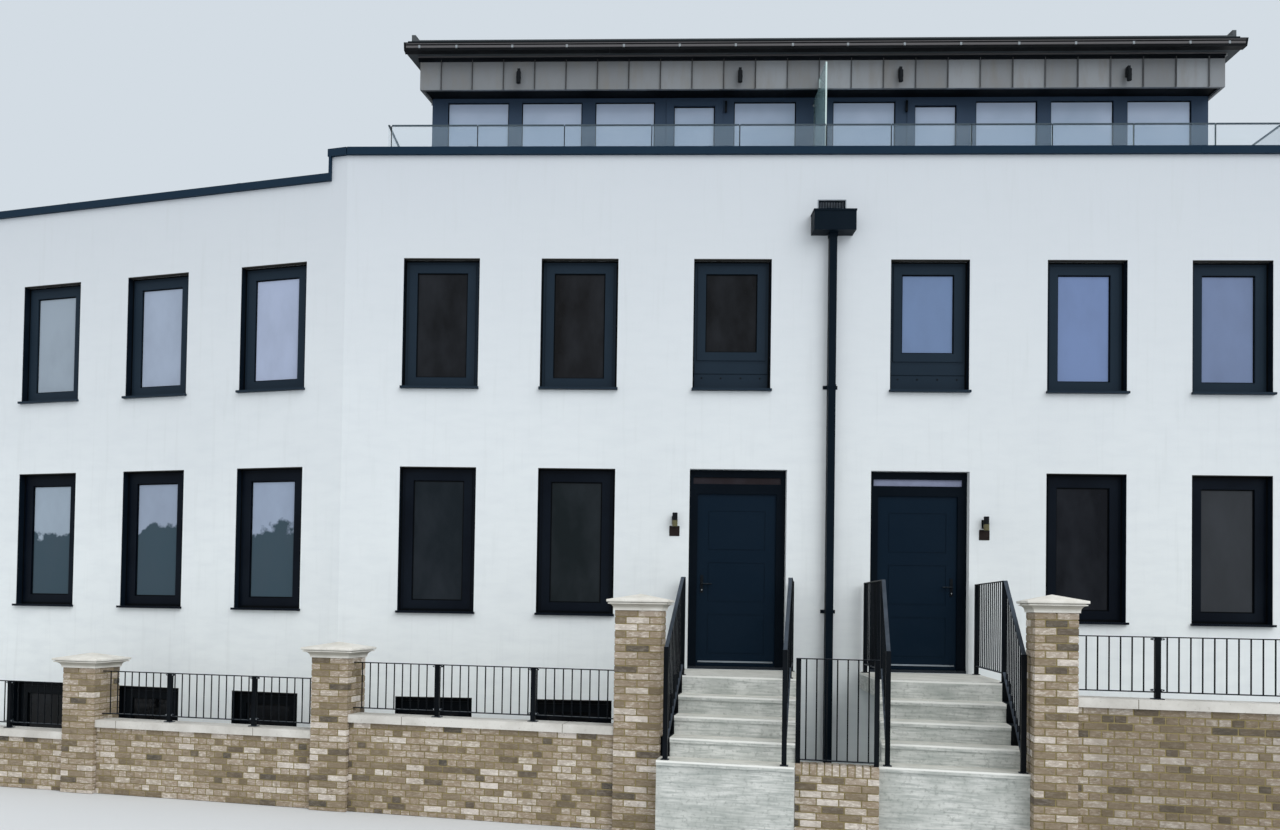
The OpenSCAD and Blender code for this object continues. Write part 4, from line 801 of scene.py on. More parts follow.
def paint_metal(name, light, dark, rough):
    # Bare or anodised metal, brushed: fine lines and a few dull marks. The
    # brush lines are drawn some millimetres apart so that they show.
    finish, tree = new_finish(name, Roughness=rough, Metallic=0.9)
    lines = cloud(tree, 0.004, 3.0, scale=(0.05, 1, 1))
    marks = add(tree, "ShaderNodeMapRange", {
        0: cloud(tree, 0.08, 4.0), 1: 0.3, 2: 0.7, 3: rough - 0.08, 4: rough + 0.12})
    return finished(finish, layered(tree, light, (dark, lines, 0.3, 0.7)),
                    (lines, 0.0003, 0.4), Roughness=marks)


def paint_roof():
    # Roofing membrane in 1 m sheets with welded laps, dull and dusty
    finish, tree = new_finish("roof_membrane", Roughness=0.75)
    sheets = add(tree, "ShaderNodeTexBrick", {
        "Vector": place(tree), "Color1": "#43494e", "Color2": "#3e4449",
        "Mortar": "#2b3034", "Scale": 1.0, "Mortar Size": 0.006,
        "Brick Width": 6.0, "Row Height": 1.0, "Bias": 0.0})
    colour = layered(tree, sheets, (
        "#5d6163", cloud(tree, 0.5, 5.0), 0.4, 0.75, 0.0, 0.5))
    return finished(finish, colour, (sheets.node.outputs["Fac"], 0.004, 0.7))


def paint_lens():
    # Smoked amber lamp glass over a faint warm light
    finish, tree = new_finish(
        "smoked_lamp_glass", Roughness=0.2, Emission_Color=linear("#ffe2b0"),
        Emission_Strength=0.04)
    return finished(finish, layered(
        tree, "#34381c", ("#4c4c26", cloud(tree, 0.02, 3.0))))


# How each finish is made. A name of the panel's colours stands for that colour.
MAKERS = {
    "render": (paint_render, "render", "render_dull"),
    # The frames' last colours are storey tones: painted shade low down, painted light
    # at the top
    "frame_coat": (paint_coat, "window_frame_coat", "frames", 0.42, 0.1,
                   "#3d4c5a", 0.85, ("#030a15", "#36465a")),
    "reveal_coat": (paint_coat, "reveal_lining_coat", "#0d1620", 0.42, 0.08,
                    "#3d4c5a", 0.85),
    "door_frame_coat": (paint_coat, "door_frame_coat", "#030b14", 0.45, 0.06,
                        "#2a333c"),
    "lintel_coat": (paint_coat, "lintel_sheet_coat", "#3b3a37", 0.55, 0.2),
    "coping_coat": (paint_coat, "coping_coat", "copings", 0.5, 0.12, "#3c4a56"),
    "pipe_coat": (paint_coat, "rainwater_coat", "#06121c", 0.42, 0.07, "#36424c"),
    "door_coat": (paint_coat, "door_leaf_coat", "doors", 0.42, 0.06, "#2b3640"),
    # The railings' tops are painted paler, partly as dust and partly as a painted
    # reflection of the sky
    "rail_coat": (paint_coat, "railing_coat", "railings", 0.4, 0.08, "#525c68"),
    "tray_coat": (paint_coat, "step_tray_coat", "#04070b", 0.5, 0.08, "#1a2026"),
    "gutter_coat": (paint_coat, "gutter_coat", "gutter", 0.5, 0.12, "#50575d"),
    "rim_coat": (paint_coat, "gutter_rim_coat", "#5a595b", 0.5, 0.15, "#565656"),
    "edge_coat": (paint_coat, "roof_edge_coat", "#1b2225", 0.5, 0.1),
    "soffit_coat": (paint_coat, "soffit_coat", "#0b0f14", 0.6, 0.1),
    "glass_cap": (paint_coat, "glass_cap_coat", "#46535c", 0.4, 0.15),
    "handle": (paint_coat, "handle_coat", "#080d12", 0.3, 0.12),
    "threshold": (paint_coat, "threshold_coat", "#151d25", 0.45, 0.3, "#59626a"),
    "lamp": (paint_coat, "lamp_coat", "#0a0d10", 0.4, 0.15),
    "gasket": (paint_coat, "glazing_gasket", "#04070a", 0.6, 0.1, "#151b21"),
    "brick": (paint_brick,),
    "mortar": (paint_mortar, "mortar"),
    "stone": (paint_stone, "stone"),
    "caps": (paint_caps,),
    "concrete": (paint_concrete, "concrete"),
    "screed": (paint_screed,),
    "paving": (paint_paving,),
    "party": (paint_party,),
    "zinc": (paint_zinc, "zinc"),
    "window_glass": (paint_window_glass,),
    "transom_glass": (paint_transom_glass,),
    "rear_glass": (paint_mirror_glass, "rear_glass_unit", "#5d6c80", "#3c4650",
                   0.2, 7.9, 9.6),
    # The penthouse glass: a painted sky reflection, paler to the top as painted light
    # under the eaves
    "pent_glass": (paint_mirror_glass, "penthouse_glass_unit", "#b2c2da",
                   "#97aac2", 0.0, 9.3, 9.6),
    "rail_glass": (paint_rail_glass, "toughened_rail_glass", "X", 0.12,
                   "#b6cbda", "#a2bbcd"),
    "screen_glass": (paint_rail_glass, "toughened_screen_glass", "Y", 0.36,
                     "#b0d2d4", "#9cc2c5"),
    "channel": (paint_metal, "anodised_channel", "#9da3a6", "#868c90", 0.4),
    "steel": (paint_metal, "stainless_steel", "#b9bdbf", "#999da0", 0.3),
    "bronze": (paint_metal, "bronze_plate", "#3a302d", "#2b2422", 0.45),
    "bar": (paint_metal, "mill_aluminium", "#a4aaae", "#8b9195", 0.4),
    "roof": (paint_roof,),
    "lens": (paint_lens,),
}
FINISHES = {}


def finish_for(key):
    """Makes each finish once, when it is first asked for."""
    if key not in FINISHES:
        colours = bpy.context.scene.row_finishes
        maker, *values = MAKERS[key]
        FINISHES[key] = maker(*[getattr(colours, value, value)
                                if isinstance(value, str) else value
                                for value in values])
    return FINISHES[key]


# Brickwork

def brick_model(sizes):
    """One brick with softened edges and a slightly uneven face, and its size."""
    half = [(sizes.stretcher - sizes.joint) / 2, BRICK_WIDE / 2,
            (sizes.course - sizes.joint) / 2]
    piece = soft_box("brick_model", [-h for h in half], half, sizes.arris)
    draws = random.Random(11)
    for vertex in piece.data.vertices:
        vertex.co += Vector([draws.uniform(-UNEVEN, 0.0) * (1 if c > 0 else -1)
                             for c in vertex.co])
    return piece, [2 * h for h in half]


def split_run(start, end, pitch, joint, offset=0.0):
    """Start and end of each brick of a course, cut to fit the run's ends."""
    shortest = 0.03
    spans = []
    left = start + offset - (pitch if offset else 0.0)
    while left < end:
        a, b = max(left, start), min(left + pitch - joint, end)
        if b - a > shortest:
            spans.append([a, b])
        left += pitch
    spans[0][0] = start
    spans[-1][1] = end
    return spans


def courses(top, sizes):
    """Foot and head of each course, from the top down to the ground."""
    thinnest, play = 0.02, 0.001
    head, index = top, 0
    while head > thinnest:
        foot = max(head - (sizes.course - sizes.joint), play)
        yield index, foot, head
        head -= sizes.course
        index += 1


def brick_tone(draws, header):
    """Headers are mostly buff; stretchers hold more dark and pale bricks."""
    chance = draws.random()
    for rare, common, low, high in ((0.05, 0.14, 0.0, 0.13), (0.16, 0.32, 0.13, 0.32),
                                    (0.92, 0.74, 0.34, 0.74)):
        if chance < (rare if header else common):
            return draws.uniform(low, high)
    return draws.uniform(0.76, 1.0)


def brick_matrix(low, high, extent, draws, across=False):
    """Stretches the brick model into its place; across turns it end on."""
    span = [b - a for a, b in zip(low, high)]
    middle = [(a + b) / 2 for a, b in zip(low, high)]
    turn = Matrix()
    if across:
        turn = Matrix.Rotation(math.radians(90), 4, "Z")
        span = [span[1], span[0], span[2]]
    stretch = Matrix.Diagonal([n / e for n, e in zip(span, extent)] + [1.0])
    flip = Matrix.Rotation(math.pi * draws.choice((0, 1)), 4, "Z")
    lean = Matrix.Rotation(draws.uniform(-LEAN, LEAN), 4, "Y")
    return STREET @ at(*middle) @ lean @ turn @ stretch @ flip


def wall_places(sizes, extent, draws):
    """English bond: a course of stretchers, then a course of headers."""
    half_joint = sizes.joint / 2
    middle = (WALL_FACE + WALL_BACK) / 2
    for start, end, top in WALL_RUNS:
        for index, foot, head in courses(top, sizes):
            header = index % 2 == 1
            pitch = sizes.stretcher / (2 if header else 1)
            offset = 0.0 if header else sizes.stretcher / 4
            for a, b in split_run(start, end, pitch, sizes.joint, offset):
                sunk = draws.uniform(0.0, SUNK)
                rows = [(WALL_FACE + sunk, WALL_BACK - sunk)] if header else [
                    (WALL_FACE + sunk, middle - half_joint),
                    (middle + half_joint, WALL_BACK - sunk)]
                for near, far in rows:
                    yield (brick_matrix((a, near, foot), (b, far, head), extent,
                                        draws, header), brick_tone(draws, header))


def kerb_places(sizes, extent, draws):
    """A course of bricks on edge over stretchers, between the steps."""
    start, end, top = KERB
    edge = 0.103
    for a, b in split_run(start, end, sizes.course, sizes.joint):
        yield (brick_matrix((a, 0.0, top - edge), (b, KERB_DEEP, top), extent,
                            draws, True), draws.uniform(0.45, 0.9))
    for index, foot, head in courses(top - edge - sizes.joint, sizes):
        offset = 0.0 if index % 2 else sizes.stretcher / 4
        for a, b in split_run(start, end, sizes.stretcher, sizes.joint, offset):
            for near, far in KERB_ROWS:
                yield (brick_matrix((a, near, foot), (b, far, head), extent,
                                    draws), brick_tone(draws, False))


def pier_course(deep, row_first):
    """One course, two bricks wide and so many half bricks deep: rows of two
    stretchers, and pairs held between bricks that lie along the sides."""
    bricks, y = [], 0
    while y < deep:
        if deep - y == 1 or (row_first and y == 0):
            bricks += [((0, 2), (y, y + 1)), ((2, 4), (y, y + 1))]
            y += 1
        else:
            bricks += [((0, 1), (y, y + 2)), ((3, 4), (y, y + 2)),
                       ((1, 3), (y, y + 1)), ((1, 3), (y + 1, y + 2))]
            y += 2
    return bricks


def pier_places(sizes, extent, draws):
    """Solid piers, whose courses break joint on every side."""
    joint = sizes.joint
    for middle, width, depth, top in PIERS:
        left = middle - width / 2
        deep = round((depth + joint) / (sizes.stretcher / 2))
        unit_x, unit_y = (width + joint) / 4, (depth + joint) / deep
        for index, foot, head in courses(top, sizes):
            for (x0, x1), (y0, y1) in pier_course(deep, index % 2 == 0):
                low = (left + x0 * unit_x, y0 * unit_y, foot)
                high = (left + x1 * unit_x - joint, y1 * unit_y - joint, head)
                yield (brick_matrix(low, high, extent, draws, y1 - y0 == 2),
                       brick_tone(draws, x1 - x0 == 1))


def lay(name, sizes, seed, *walks):
    """Lays all the bricks of some walks as one piece."""
    model, extent = brick_model(sizes)
    draws = random.Random(seed)
    places, tones = zip(*(brick for walk in walks
                          for brick in walk(sizes, extent, draws)))
    return fit(copies(name, model, places, tones), "brick")


class RowPiece:
    bl_options = {"REGISTER", "UNDO"}


class LayWallBricks(RowPiece, bpy.types.Operator):
    """Lay the boundary wall and the kerb brick by brick"""
    bl_idname = "row.lay_wall_bricks"
    bl_label = "Lay Wall Bricks"

    def execute(self, context):
        wall = lay("wall_bricks", context.scene.row_bricks, 4021, wall_places,
                   kerb_places)
        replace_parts(wall, "boundary_walls")
        return {"FINISHED"}


class LayPierBricks(RowPiece, bpy.types.Operator):
    """Lay the five piers brick by brick"""
    bl_idname = "row.lay_pier_bricks"
    bl_label = "Lay Pier Bricks"

    def execute(self, context):
        piers = lay("pier_bricks", context.scene.row_bricks, 977, pier_places)
        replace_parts(piers, "boundary_piers")
        return {"FINISHED"}


class SpreadMortar(RowPiece, bpy.types.Operator):
    """Fill the joints of the walls and piers with recessed mortar"""
    bl_idname = "row.spread_mortar"
    bl_label = "Spread Mortar"

    def execute(self, context):
        recess = context.scene.row_bricks.recess
        blocks = [(a, WALL_FACE, b, WALL_BACK, top) for a, b, top in WALL_RUNS]
        blocks += [(middle - width / 2, 0.0, middle + width / 2, depth, top)
                   for middle, width, depth, top in PIERS]
        blocks.append((KERB[0], 0.0, KERB[1], KERB_DEEP, KERB[2]))
        bed = join("mortar_joints", [soft_box(
            "mortar_part", (left + recess, near + recess, 0.0),
            (right - recess, far - recess, top - recess), width=0.003)
            for left, near, right, far, top in blocks])
        bed.data.transform(STREET)
        fit(bed, "mortar")
        return {"FINISHED"}


# Trim

def bead_model(width, depth):
    """A mitred ring of glazing bead round a 1 m square, flat at its back."""
    deselect()
    bpy.ops.mesh.primitive_plane_add(size=1, location=(0.5, 0, 0.5),
                                     rotation=(math.radians(90), 0, 0))
    piece = keep_place(bpy.context.object)
    bpy.ops.object.mode_set(mode="EDIT")
    bpy.ops.mesh.select_all(action="SELECT")
    bpy.ops.mesh.inset(thickness=width)
    bpy.ops.mesh.delete(type="FACE")
    bpy.ops.mesh.select_all(action="SELECT")
    push(1, -depth)
    close_up()
    # The front edges are rounded, but not the mitres, which run both ways
    return round_edges(piece, depth * 0.4, 2, lambda e: lies(
        e, 1, high=1e-5 - depth) and not (runs(e, 0, 1e-4) and runs(e, 2, 1e-4)))


def ring_round(name, panes, width, depth, back=0.0):
    """A mitred ring inside the outline of each pane, set back from its face."""
    ring = bead_model(width, depth)
    ring.data.transform(at(0, back, 0))
    return copies(name, ring, panes)


def sheet_model(width, thick):
    """A sheet under a lintel whose front edge is folded down as a drip."""
    front, side_play, drip = SHEET_SHORT - REVEAL, 0.001, 0.006
    sheet = start_box("sheet_model", (side_play, front, -thick - PLAY),
                      (width - side_play, 0.0, -PLAY))
    pick(sheet, lambda f: f.normal.z < -0.5, "FACE")
    bpy.ops.mesh.subdivide(number_cuts=1)
    bpy.ops.object.mode_set(mode="OBJECT")
    for vertex in sheet.data.vertices:
        if abs(vertex.co.y - front / 2) < 0.01:
            vertex.co.y = front + thick
    pick(sheet, lambda f: f.normal.z < -0.5
         and f.calc_center_median().y < front + thick, "FACE")
    push(2, -drip)
    bpy.ops.object.mode_set(mode="OBJECT")
    return sheet


def cap_model(radius, height):
    """A low domed cap that faces the street."""
    deselect()
    bpy.ops.mesh.primitive_cylinder_add(
        vertices=12, radius=radius, depth=height, location=(0, -height / 2, 0),
        rotation=(math.radians(90), 0, 0))
    return round_edges(keep_place(bpy.context.object), height * 0.45, 2,
                       lambda e: lies(e, 1, high=-height * 0.9))


class FitGlazingBeads(RowPiece, bpy.types.Operator):
    """Fit a dark bead round every pane of the windows and the penthouse"""
    bl_idname = "row.fit_glazing_beads"
    bl_label = "Fit Glazing Beads"

    def execute(self, context):
        for name, node, outward in (
                ("front_beads", "front_window_glass", -1),
                ("rear_beads", "rear_window_glass", 1),
                ("penthouse_beads", "penthouse_glass", -1)):
            fit(ring_round(name, pane_places(node, outward),
                           context.scene.row_trim.bead, BEAD_OUT),
                "gasket")
        return {"FINISHED"}


class FitFrameSeals(RowPiece, bpy.types.Operator):
    """Seal the windows to the walls, with a folded sheet under each lintel"""
    bl_idname = "row.fit_frame_seals"
    bl_label = "Fit Frame Seals"

    def execute(self, context):
        sizes = context.scene.row_trim
        for side, outward in (("front", -1), ("rear", 1)):
            panes = list(pane_places(side + "_window_frames", outward))
            fit(ring_round(side + "_seals", panes, sizes.seal, SEAL_OUT, SASH_OUT),
                "gasket")
            fit(copies(side + "_lintel_sheets",
                       sheet_model(panes[0][1], sizes.sheet),
                       [matrix @ at(0, 0, high) for matrix, _, high in panes]),
                "lintel_coat")
        lining = start_box("lining_model", (0.0, LINING_SHORT - REVEAL, 0.0),
                           (sizes.sheet, SASH_OUT, 1.0))
        top_play = 0.001
        places = []
        for matrix, width, high in pane_places("front_window_frames", -1):
            stretch = Matrix.Diagonal((1, 1, high - sizes.sheet - top_play, 1))
            places += [matrix @ at(start, 0, PLAY) @ stretch
                       for start in (PLAY, width - PLAY - sizes.sheet)]
        fit(copies("reveal_linings", lining, places), "reveal_coat")
        return {"FINISHED"}


class FitPanelCaps(RowPiece, bpy.types.Operator):
    """Fit the screw caps of the panels under the windows over the doors"""
    bl_idname = "row.fit_panel_caps"
    bl_label = "Fit Panel Caps"

    def execute(self, context):
        high = 0.006
        fit(copies("panel_caps", cap_model(0.011, high), [
            at(side * x, FRONT_Y + REVEAL + high, PANEL_CAPS_Z)
            for side in (-1, 1) for x in PANEL_CAPS_X]),
            "handle", smooth=40)
        return {"FINISHED"}


class FitWeatherBars(RowPiece, bpy.types.Operator):
    """Fit an aluminium drip bar across the foot of each front door"""
    bl_idname = "row.fit_weather_bars"
    bl_label = "Fit Weather Bars"

    def execute(self, context):
        height = context.scene.row_trim.weather_bar
        inset, lift, sunk, deep, slope = 0.03, 0.045, 0.003, 0.014, 0.008
        for body in ("left_door", "right_door"):
            low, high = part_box(body)
            back, foot = low[1] + sunk, low[2] + lift
            bar = start_box(body + "_weather_bar",
                            (low[0] + inset, back - deep, foot),
                            (high[0] - inset, back, foot + height))
            pick(bar, lambda e: lies(e, 1, high=back - deep * 0.7)
                 and lies(e, 2, foot + height * 0.9))
            bpy.ops.transform.translate(value=(0, slope, 0))
            bpy.ops.object.mode_set(mode="OBJECT")
            fit(round_edges(bar, width=0.0015), "bar", body, smooth=40)
        return {"FINISHED"}


class FitLockFaces(RowPiece, bpy.types.Operator):
    """Fit the bright face of the lock under each door's handle"""
    bl_idname = "row.fit_lock_faces"
    bl_label = "Fit Lock Faces"

    def execute(self, context):
        for body, edge, inward in (("left_door", 0, 1), ("right_door", 1, -1)):
            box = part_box(body)
            face = cap_model(radius=0.0085, height=0.002)
            face.data.transform(at(box[edge][0] + inward * LOCK_IN,
                                   box[0][1] - LOCK_OUT, LOCK_Z))
            face.name = body + "_lock_face"
            fit(face, "steel", body, smooth=40)
        return {"FINISHED"}


def post_spots():
    """Place of each post of the street railings, on the stones of the wall."""
    for (start, end, top), shares in zip(WALL_RUNS, POST_SHARES):
        for share in shares:
            x = start + POST_WIDE / 2 + share * (end - start - POST_WIDE)
            yield Vector((x, (WALL_FACE + WALL_BACK) / 2, top + STONE_HIGH))


class FitRailFixings(RowPiece, bpy.types.Operator):
    """Fit the lugs, bolts and base plates of the street railings' posts"""
    bl_idname = "row.fit_rail_fixings"
    bl_label = "Fit Rail Fixings"

    def execute(self, context):
        reach, deep, high = 0.036, 0.032, 0.026
        bolt_x, bolt_y, sunk = 0.014, -0.0145, 0.001
        lug = start_box("lug_model", (0.0, -deep / 2, -high / 2),
                        (reach, deep / 2, high / 2))
        pick(lug, lambda f: f.normal.x > 0.5, "FACE")
        bpy.ops.transform.resize(value=(1, 0.7, 0.5))
        bpy.ops.object.mode_set(mode="OBJECT")
        round_edges(lug, 0.002, 1)
        wide, deep, thick = 0.11, 0.1, 0.008
        plate = start_box("base_model", (-wide / 2, -deep / 2, 0.0),
                          (wide / 2, deep / 2, thick))
        round_edges(plate, 0.02, 3, lambda e: runs(e, 2))
        round_edges(plate, 0.0015, 1, lambda e: lies(e, 2, thick * 0.9))
        lugs, bolts, bases = [], [], []
        for spot in post_spots():
            bases.append(STREET @ at(*spot))
            for height in (RAIL_LOW + RAIL_HALF, RAIL_TOP - RAIL_HALF):
                for side in (-1, 1):
                    end = spot + Vector((side * (POST_WIDE / 2 - sunk), 0, height))
                    lugs.append(STREET @ at(*end) @ Matrix.Diagonal((side, 1, 1, 1)))
                    end += Vector((side * bolt_x, bolt_y, 0))
                    bolts.append(STREET @ at(*end))
        fit(copies("rail_lugs", lug, lugs), "rail_coat")
        fit(copies("post_bases", plate, bases), "rail_coat")
        fit(copies("rail_bolts", cap_model(0.007, 0.004), bolts), "steel",
            smooth=40)
        return {"FINISHED"}


class FitStepTrays(RowPiece, bpy.types.Operator):
    """Fit the black trays that step up the outer end of each flight"""
    bl_idname = "row.fit_step_trays"
    bl_label = "Fit Step Trays"

    def execute(self, context):
        thick, last_deep = 0.003, 0.05
        parts = []
        for left, right, start, first in STEP_TRAYS:
            for step in range(first, TREADS + 2):
                front = start + (step - 1) * GOING - thick
                foot = STREET_Z + (step - 1) * RISER
                deep = GOING if step <= TREADS else last_deep
                parts.append(soft_box("tray_part", (left, front, foot), (
                    right, front + deep, foot + RISER + thick), 0.004, 2))
        trays = join("step_trays", parts)
        trays.data.transform(STREET)
        fit(trays, "tray_coat", smooth=30)
        return {"FINISHED"}


def cap_outline(out):
    """A cap's edge from its foot up: distance from the pier's face, height."""
    points = [(0.012, 0.0)]
    for step in range(5):
        turn = math.radians(22.5 * step)
        points.append((0.012 + (out - 0.032) * (1 - math.cos(turn)),
                       0.012 + 0.054 * math.sin(turn)))
    return points + [(out - 0.014, 0.067), (out - 0.014, 0.077), (out - 0.028, 0.078),
                     (out - 0.028, 0.086), (out, 0.087), (out, 0.112)]


def cap_piece(middle, width, depth, top, out):
    """A cap drawn up from its foot, level by level, to a point."""
    band_foot, band_high, peak = top + 0.0869, 0.03, 0.064
    (stand, height), *levels = cap_outline(out)
    sides = [width + 2 * stand, depth + 2 * stand]
    deselect()
    bpy.ops.mesh.primitive_plane_add(size=1, location=(middle, depth / 2, top))
    piece = bpy.context.object
    piece.scale = (*sides, 1)
    keep_place(piece)
    bpy.ops.object.mode_set(mode="EDIT")
    bpy.ops.mesh.select_all(action="SELECT")
    for stand, level in levels:
        now = [width + 2 * stand, depth + 2 * stand]
        push(2, level - height)
        bpy.ops.transform.resize(value=(now[0] / sides[0], now[1] / sides[1], 1),
                                 center_override=(middle, depth / 2, top + level))
        sides, height = now, level
    push(2, peak)
    bpy.ops.mesh.merge(type="CENTER")
    close_up()
    return round_edges(piece, 0.0025, 2,
                       lambda e: lies(e, 2, band_foot, band_foot + band_high))


class MouldPierCaps(RowPiece, bpy.types.Operator):
    """Mould the stone caps of the piers, with a groove under their edges"""
    bl_idname = "row.mould_pier_caps"
    bl_label = "Mould Pier Caps"

    def execute(self, context):
        caps = join("moulded_caps", [cap_piece(*pier, out)
                                     for pier, out in zip(PIERS, CAP_OUT)])
        caps.data.transform(STREET)
        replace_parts(fit(caps, "caps", smooth=26), "pier_caps")
        return {"FINISHED"}


class FitPlates(RowPiece, bpy.types.Operator):
    """Fit a bare plate and a smoked lens to the light beside each door"""
    bl_idname = "row.fit_plates"
    bl_label = "Fit Plates and Lenses"

    def execute(self, context):
        side = context.scene.row_trim.plate
        # The lens stands a little out round its lamp, and over the lamp's foot
        thick, high, over, lift = 0.005, 0.078, 0.0015, 0.006
        plate = start_box("plate_model", (-side / 2, -thick, -side),
                          (side / 2, 0.0, 0.0))
        round_edges(plate, 0.008, 3, lambda e: runs(e, 1))
        round_edges(plate, 0.001, 1, lambda e: lies(e, 1, high=-thick * 0.9))
        fit(copies("bare_plates", plate, [
            at(x, FRONT_Y, PLATE_TOP) for x in (-LAMP_X, LAMP_X)]),
            "bronze", smooth=40)
        deselect()
        bpy.ops.mesh.primitive_cylinder_add(
            vertices=24, radius=LAMP_RADIUS + over, depth=high,
            location=(0, -LAMP_OUT, lift + high / 2))
        lens = keep_place(bpy.context.object)
        round_edges(lens, 0.007, 3, lambda e: lies(e, 2, high=lift * 1.1))
        fit(copies("lamp_lenses", lens, [
            at(x, FRONT_Y, LAMP_FOOT) for x in (-LAMP_X, LAMP_X)]),
            "lens", smooth=40)
        return {"FINISHED"}


class FitRailGlassTrim(RowPiece, bpy.types.Operator):
    """Fit the slim cap along the rail glass and the seals between its panes"""
    bl_idname = "row.fit_rail_glass_trim"
    bl_label = "Fit Rail Glass Trim"

    def execute(self, context):
        deep, gap, play = 0.02, 0.012, 0.0005
        out, over, hang, inset = 0.0025, 0.003, 0.011, 0.001
        cap = start_box("cap_model", (0.0, -out, -hang), (1.0, deep + out, over))
        seal = start_box("seal_model", (play - gap, inset, 0.0),
                         (-play, deep - inset, 1.0))
        caps, seals = [], []
        for matrix, width, high in pane_places("balustrade_glass", -1):
            caps.append(matrix @ at(0, 0, high) @ Matrix.Diagonal((width, 1, 1, 1)))
            # The panes at the two ends turn back and stand free
            if abs(matrix[0][0]) > 0.5:
                seals.append(matrix @ Matrix.Diagonal((1, 1, high - gap, 1)))
        fit(copies("rail_glass_caps", cap, caps), "glass_cap")
        fit(copies("rail_glass_seals", seal, seals), "gasket")
        return {"FINISHED"}


def rim_face(low, high, height):
    """Where the gutter's leaning front stands at a height."""
    lean = 0.028
    return low[1] + lean * (high[2] - height) / (high[2] - low[2])


class FitEavesTrim(RowPiece, bpy.types.Operator):
    """Fit the rim of the gutter, the folded roof edge and the eaves closer"""
    bl_idname = "row.fit_eaves_trim"
    bl_label = "Fit Eaves Trim"

    def execute(self, context):
        inset, left_inset = 0.03, 0.004
        low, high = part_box("eaves_gutter")
        left, right = low[0] + inset, high[0] - inset
        out, deep = 0.005, 0.014
        bars = []
        for foot, head in (RIM_BAND, BEAD_BAND):
            near = rim_face(low, high, head) - out
            bars.append(soft_box("rim_part", (left, near, foot),
                                 (right, near + deep, head), width=0.002))
        fit(join("gutter_rim", bars), "rim_coat")
        near, far = high[1] - 0.0015, high[1] + 0.012
        foot, head = high[2] + 0.001, high[2] + 0.087
        edge = soft_box("roof_edge_strip", (left, near, foot), (right, far, head),
                        width=0.003, rounds=2)
        fit(edge, "edge_coat")
        low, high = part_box("penthouse_fascia")
        left, right = low[0] + left_inset, high[0] - inset
        near, far = low[1] + 0.022, low[1] + 0.024
        fit(join("eaves_closer", [soft_box(
            "closer_part", (left, near - stand, foot), (right, far, head),
            width=0.001) for stand, foot, head in CLOSER_STEPS]),
            "soffit_coat")
        near, far = low[1] - 0.03, low[1] - 0.007
        lip = soft_box("eaves_lip", (left, near, LIP_BAND[0]),
                       (right, far, LIP_BAND[1]), width=0.002)
        fit(lip, "rim_coat")
        return {"FINISHED"}


class FitTerracePulls(RowPiece, bpy.types.Operator):
    """Fit the pulls of the terrace doors and the clamps of the privacy screen"""
    bl_idname = "row.fit_terrace_pulls"
    bl_label = "Fit Terrace Pulls"

    def execute(self, context):
        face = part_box("penthouse_frames")[0][1]
        wide, out, sunk = 0.026, 0.03, 0.001
        pull = start_box("pull_model", (-wide / 2, -out, PULL_BAND[0]),
                         (wide / 2, sunk, PULL_BAND[1]))
        round_edges(pull, 0.02, 4, lambda e: lies(e, 1, high=-0.02)
                    and runs(e, 0, 0.01))
        round_edges(pull, 0.002, 1)
        fit(copies("terrace_pulls", pull, [at(x, face, 0) for x in PULLS_X]),
            "handle")
        fit(copies("screen_clamps", cap_model(0.014, 0.014), [
            at(CLAMP_X, face, z) for z in CLAMPS_Z]),
            "steel", smooth=40)
        return {"FINISHED"}


class FitGutterClips(RowPiece, bpy.types.Operator):
    """Fit the bright clips that hold the gutter's front edge"""
    bl_idname = "row.fit_gutter_clips"
    bl_label = "Fit Gutter Clips"

    def execute(self, context):
        width = context.scene.row_trim.clip
        under, over, out, deep = 0.004, 0.003, 0.008, 0.02
        low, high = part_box("eaves_gutter")
        foot, head = RIM_BAND[0] - under, RIM_BAND[1] + over
        near = rim_face(low, high, head) - out
        clip = start_box("clip_model", (-width / 2, near, foot),
                         (width / 2, near + deep, head))
        fold_sheet(clip, lambda f: f.normal.y > 0.5, thick=0.0025)
        round_edges(clip, 0.0008, 1)
        fit(copies("gutter_clips", clip, [at(x, 0, 0) for x in CLIPS_X]),
            "steel")
        return {"FINISHED"}


class FitCopingStraps(RowPiece, bpy.types.Operator):
    """Fit the folded straps over the joints of the parapet copings"""
    bl_idname = "row.fit_coping_straps"
    bl_label = "Fit Coping Straps"

    def execute(self, context):
        width = context.scene.row_trim.strap
        near, far, hang, over = -0.047, 0.347, 0.0965, 0.0015
        strap = start_box("strap_model", (-width / 2, near, -hang),
                          (width / 2, far, over))
        fold_sheet(strap, lambda f: f.normal.z < -0.5 or abs(f.normal.x) > 0.5,
                   thick=0.0016)
        spots = []
        for x in MAIN_JOINTS:
            spots.append(at(x, FRONT_Y, MAIN_COPING))
            spots.append(at(x, -FRONT_Y, MAIN_COPING)
                         @ Matrix.Rotation(math.pi, 4, "Z"))
        spots += [WING @ at(x, 0, WING_COPING) for x in WING_JOINTS]
        fit(copies("coping_straps", strap, spots), "coping_coat")
        return {"FINISHED"}


class FitOutletTrim(RowPiece, bpy.types.Operator):
    """Seal the edge of the terrace outlet over the hopper"""
    bl_idname = "row.fit_outlet_trim"
    bl_label = "Fit Outlet Trim"

    def execute(self, context):
        low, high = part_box("outlet_grille")
        wide = 0.011
        fit(copies("outlet_trim", bead_model(wide, depth=0.004), [
            (at(low[0] - wide, FRONT_Y, low[2]), high[0] - low[0] + 2 * wide,
             high[2] - low[2] + wide)]), "bar")
        return {"FINISHED"}


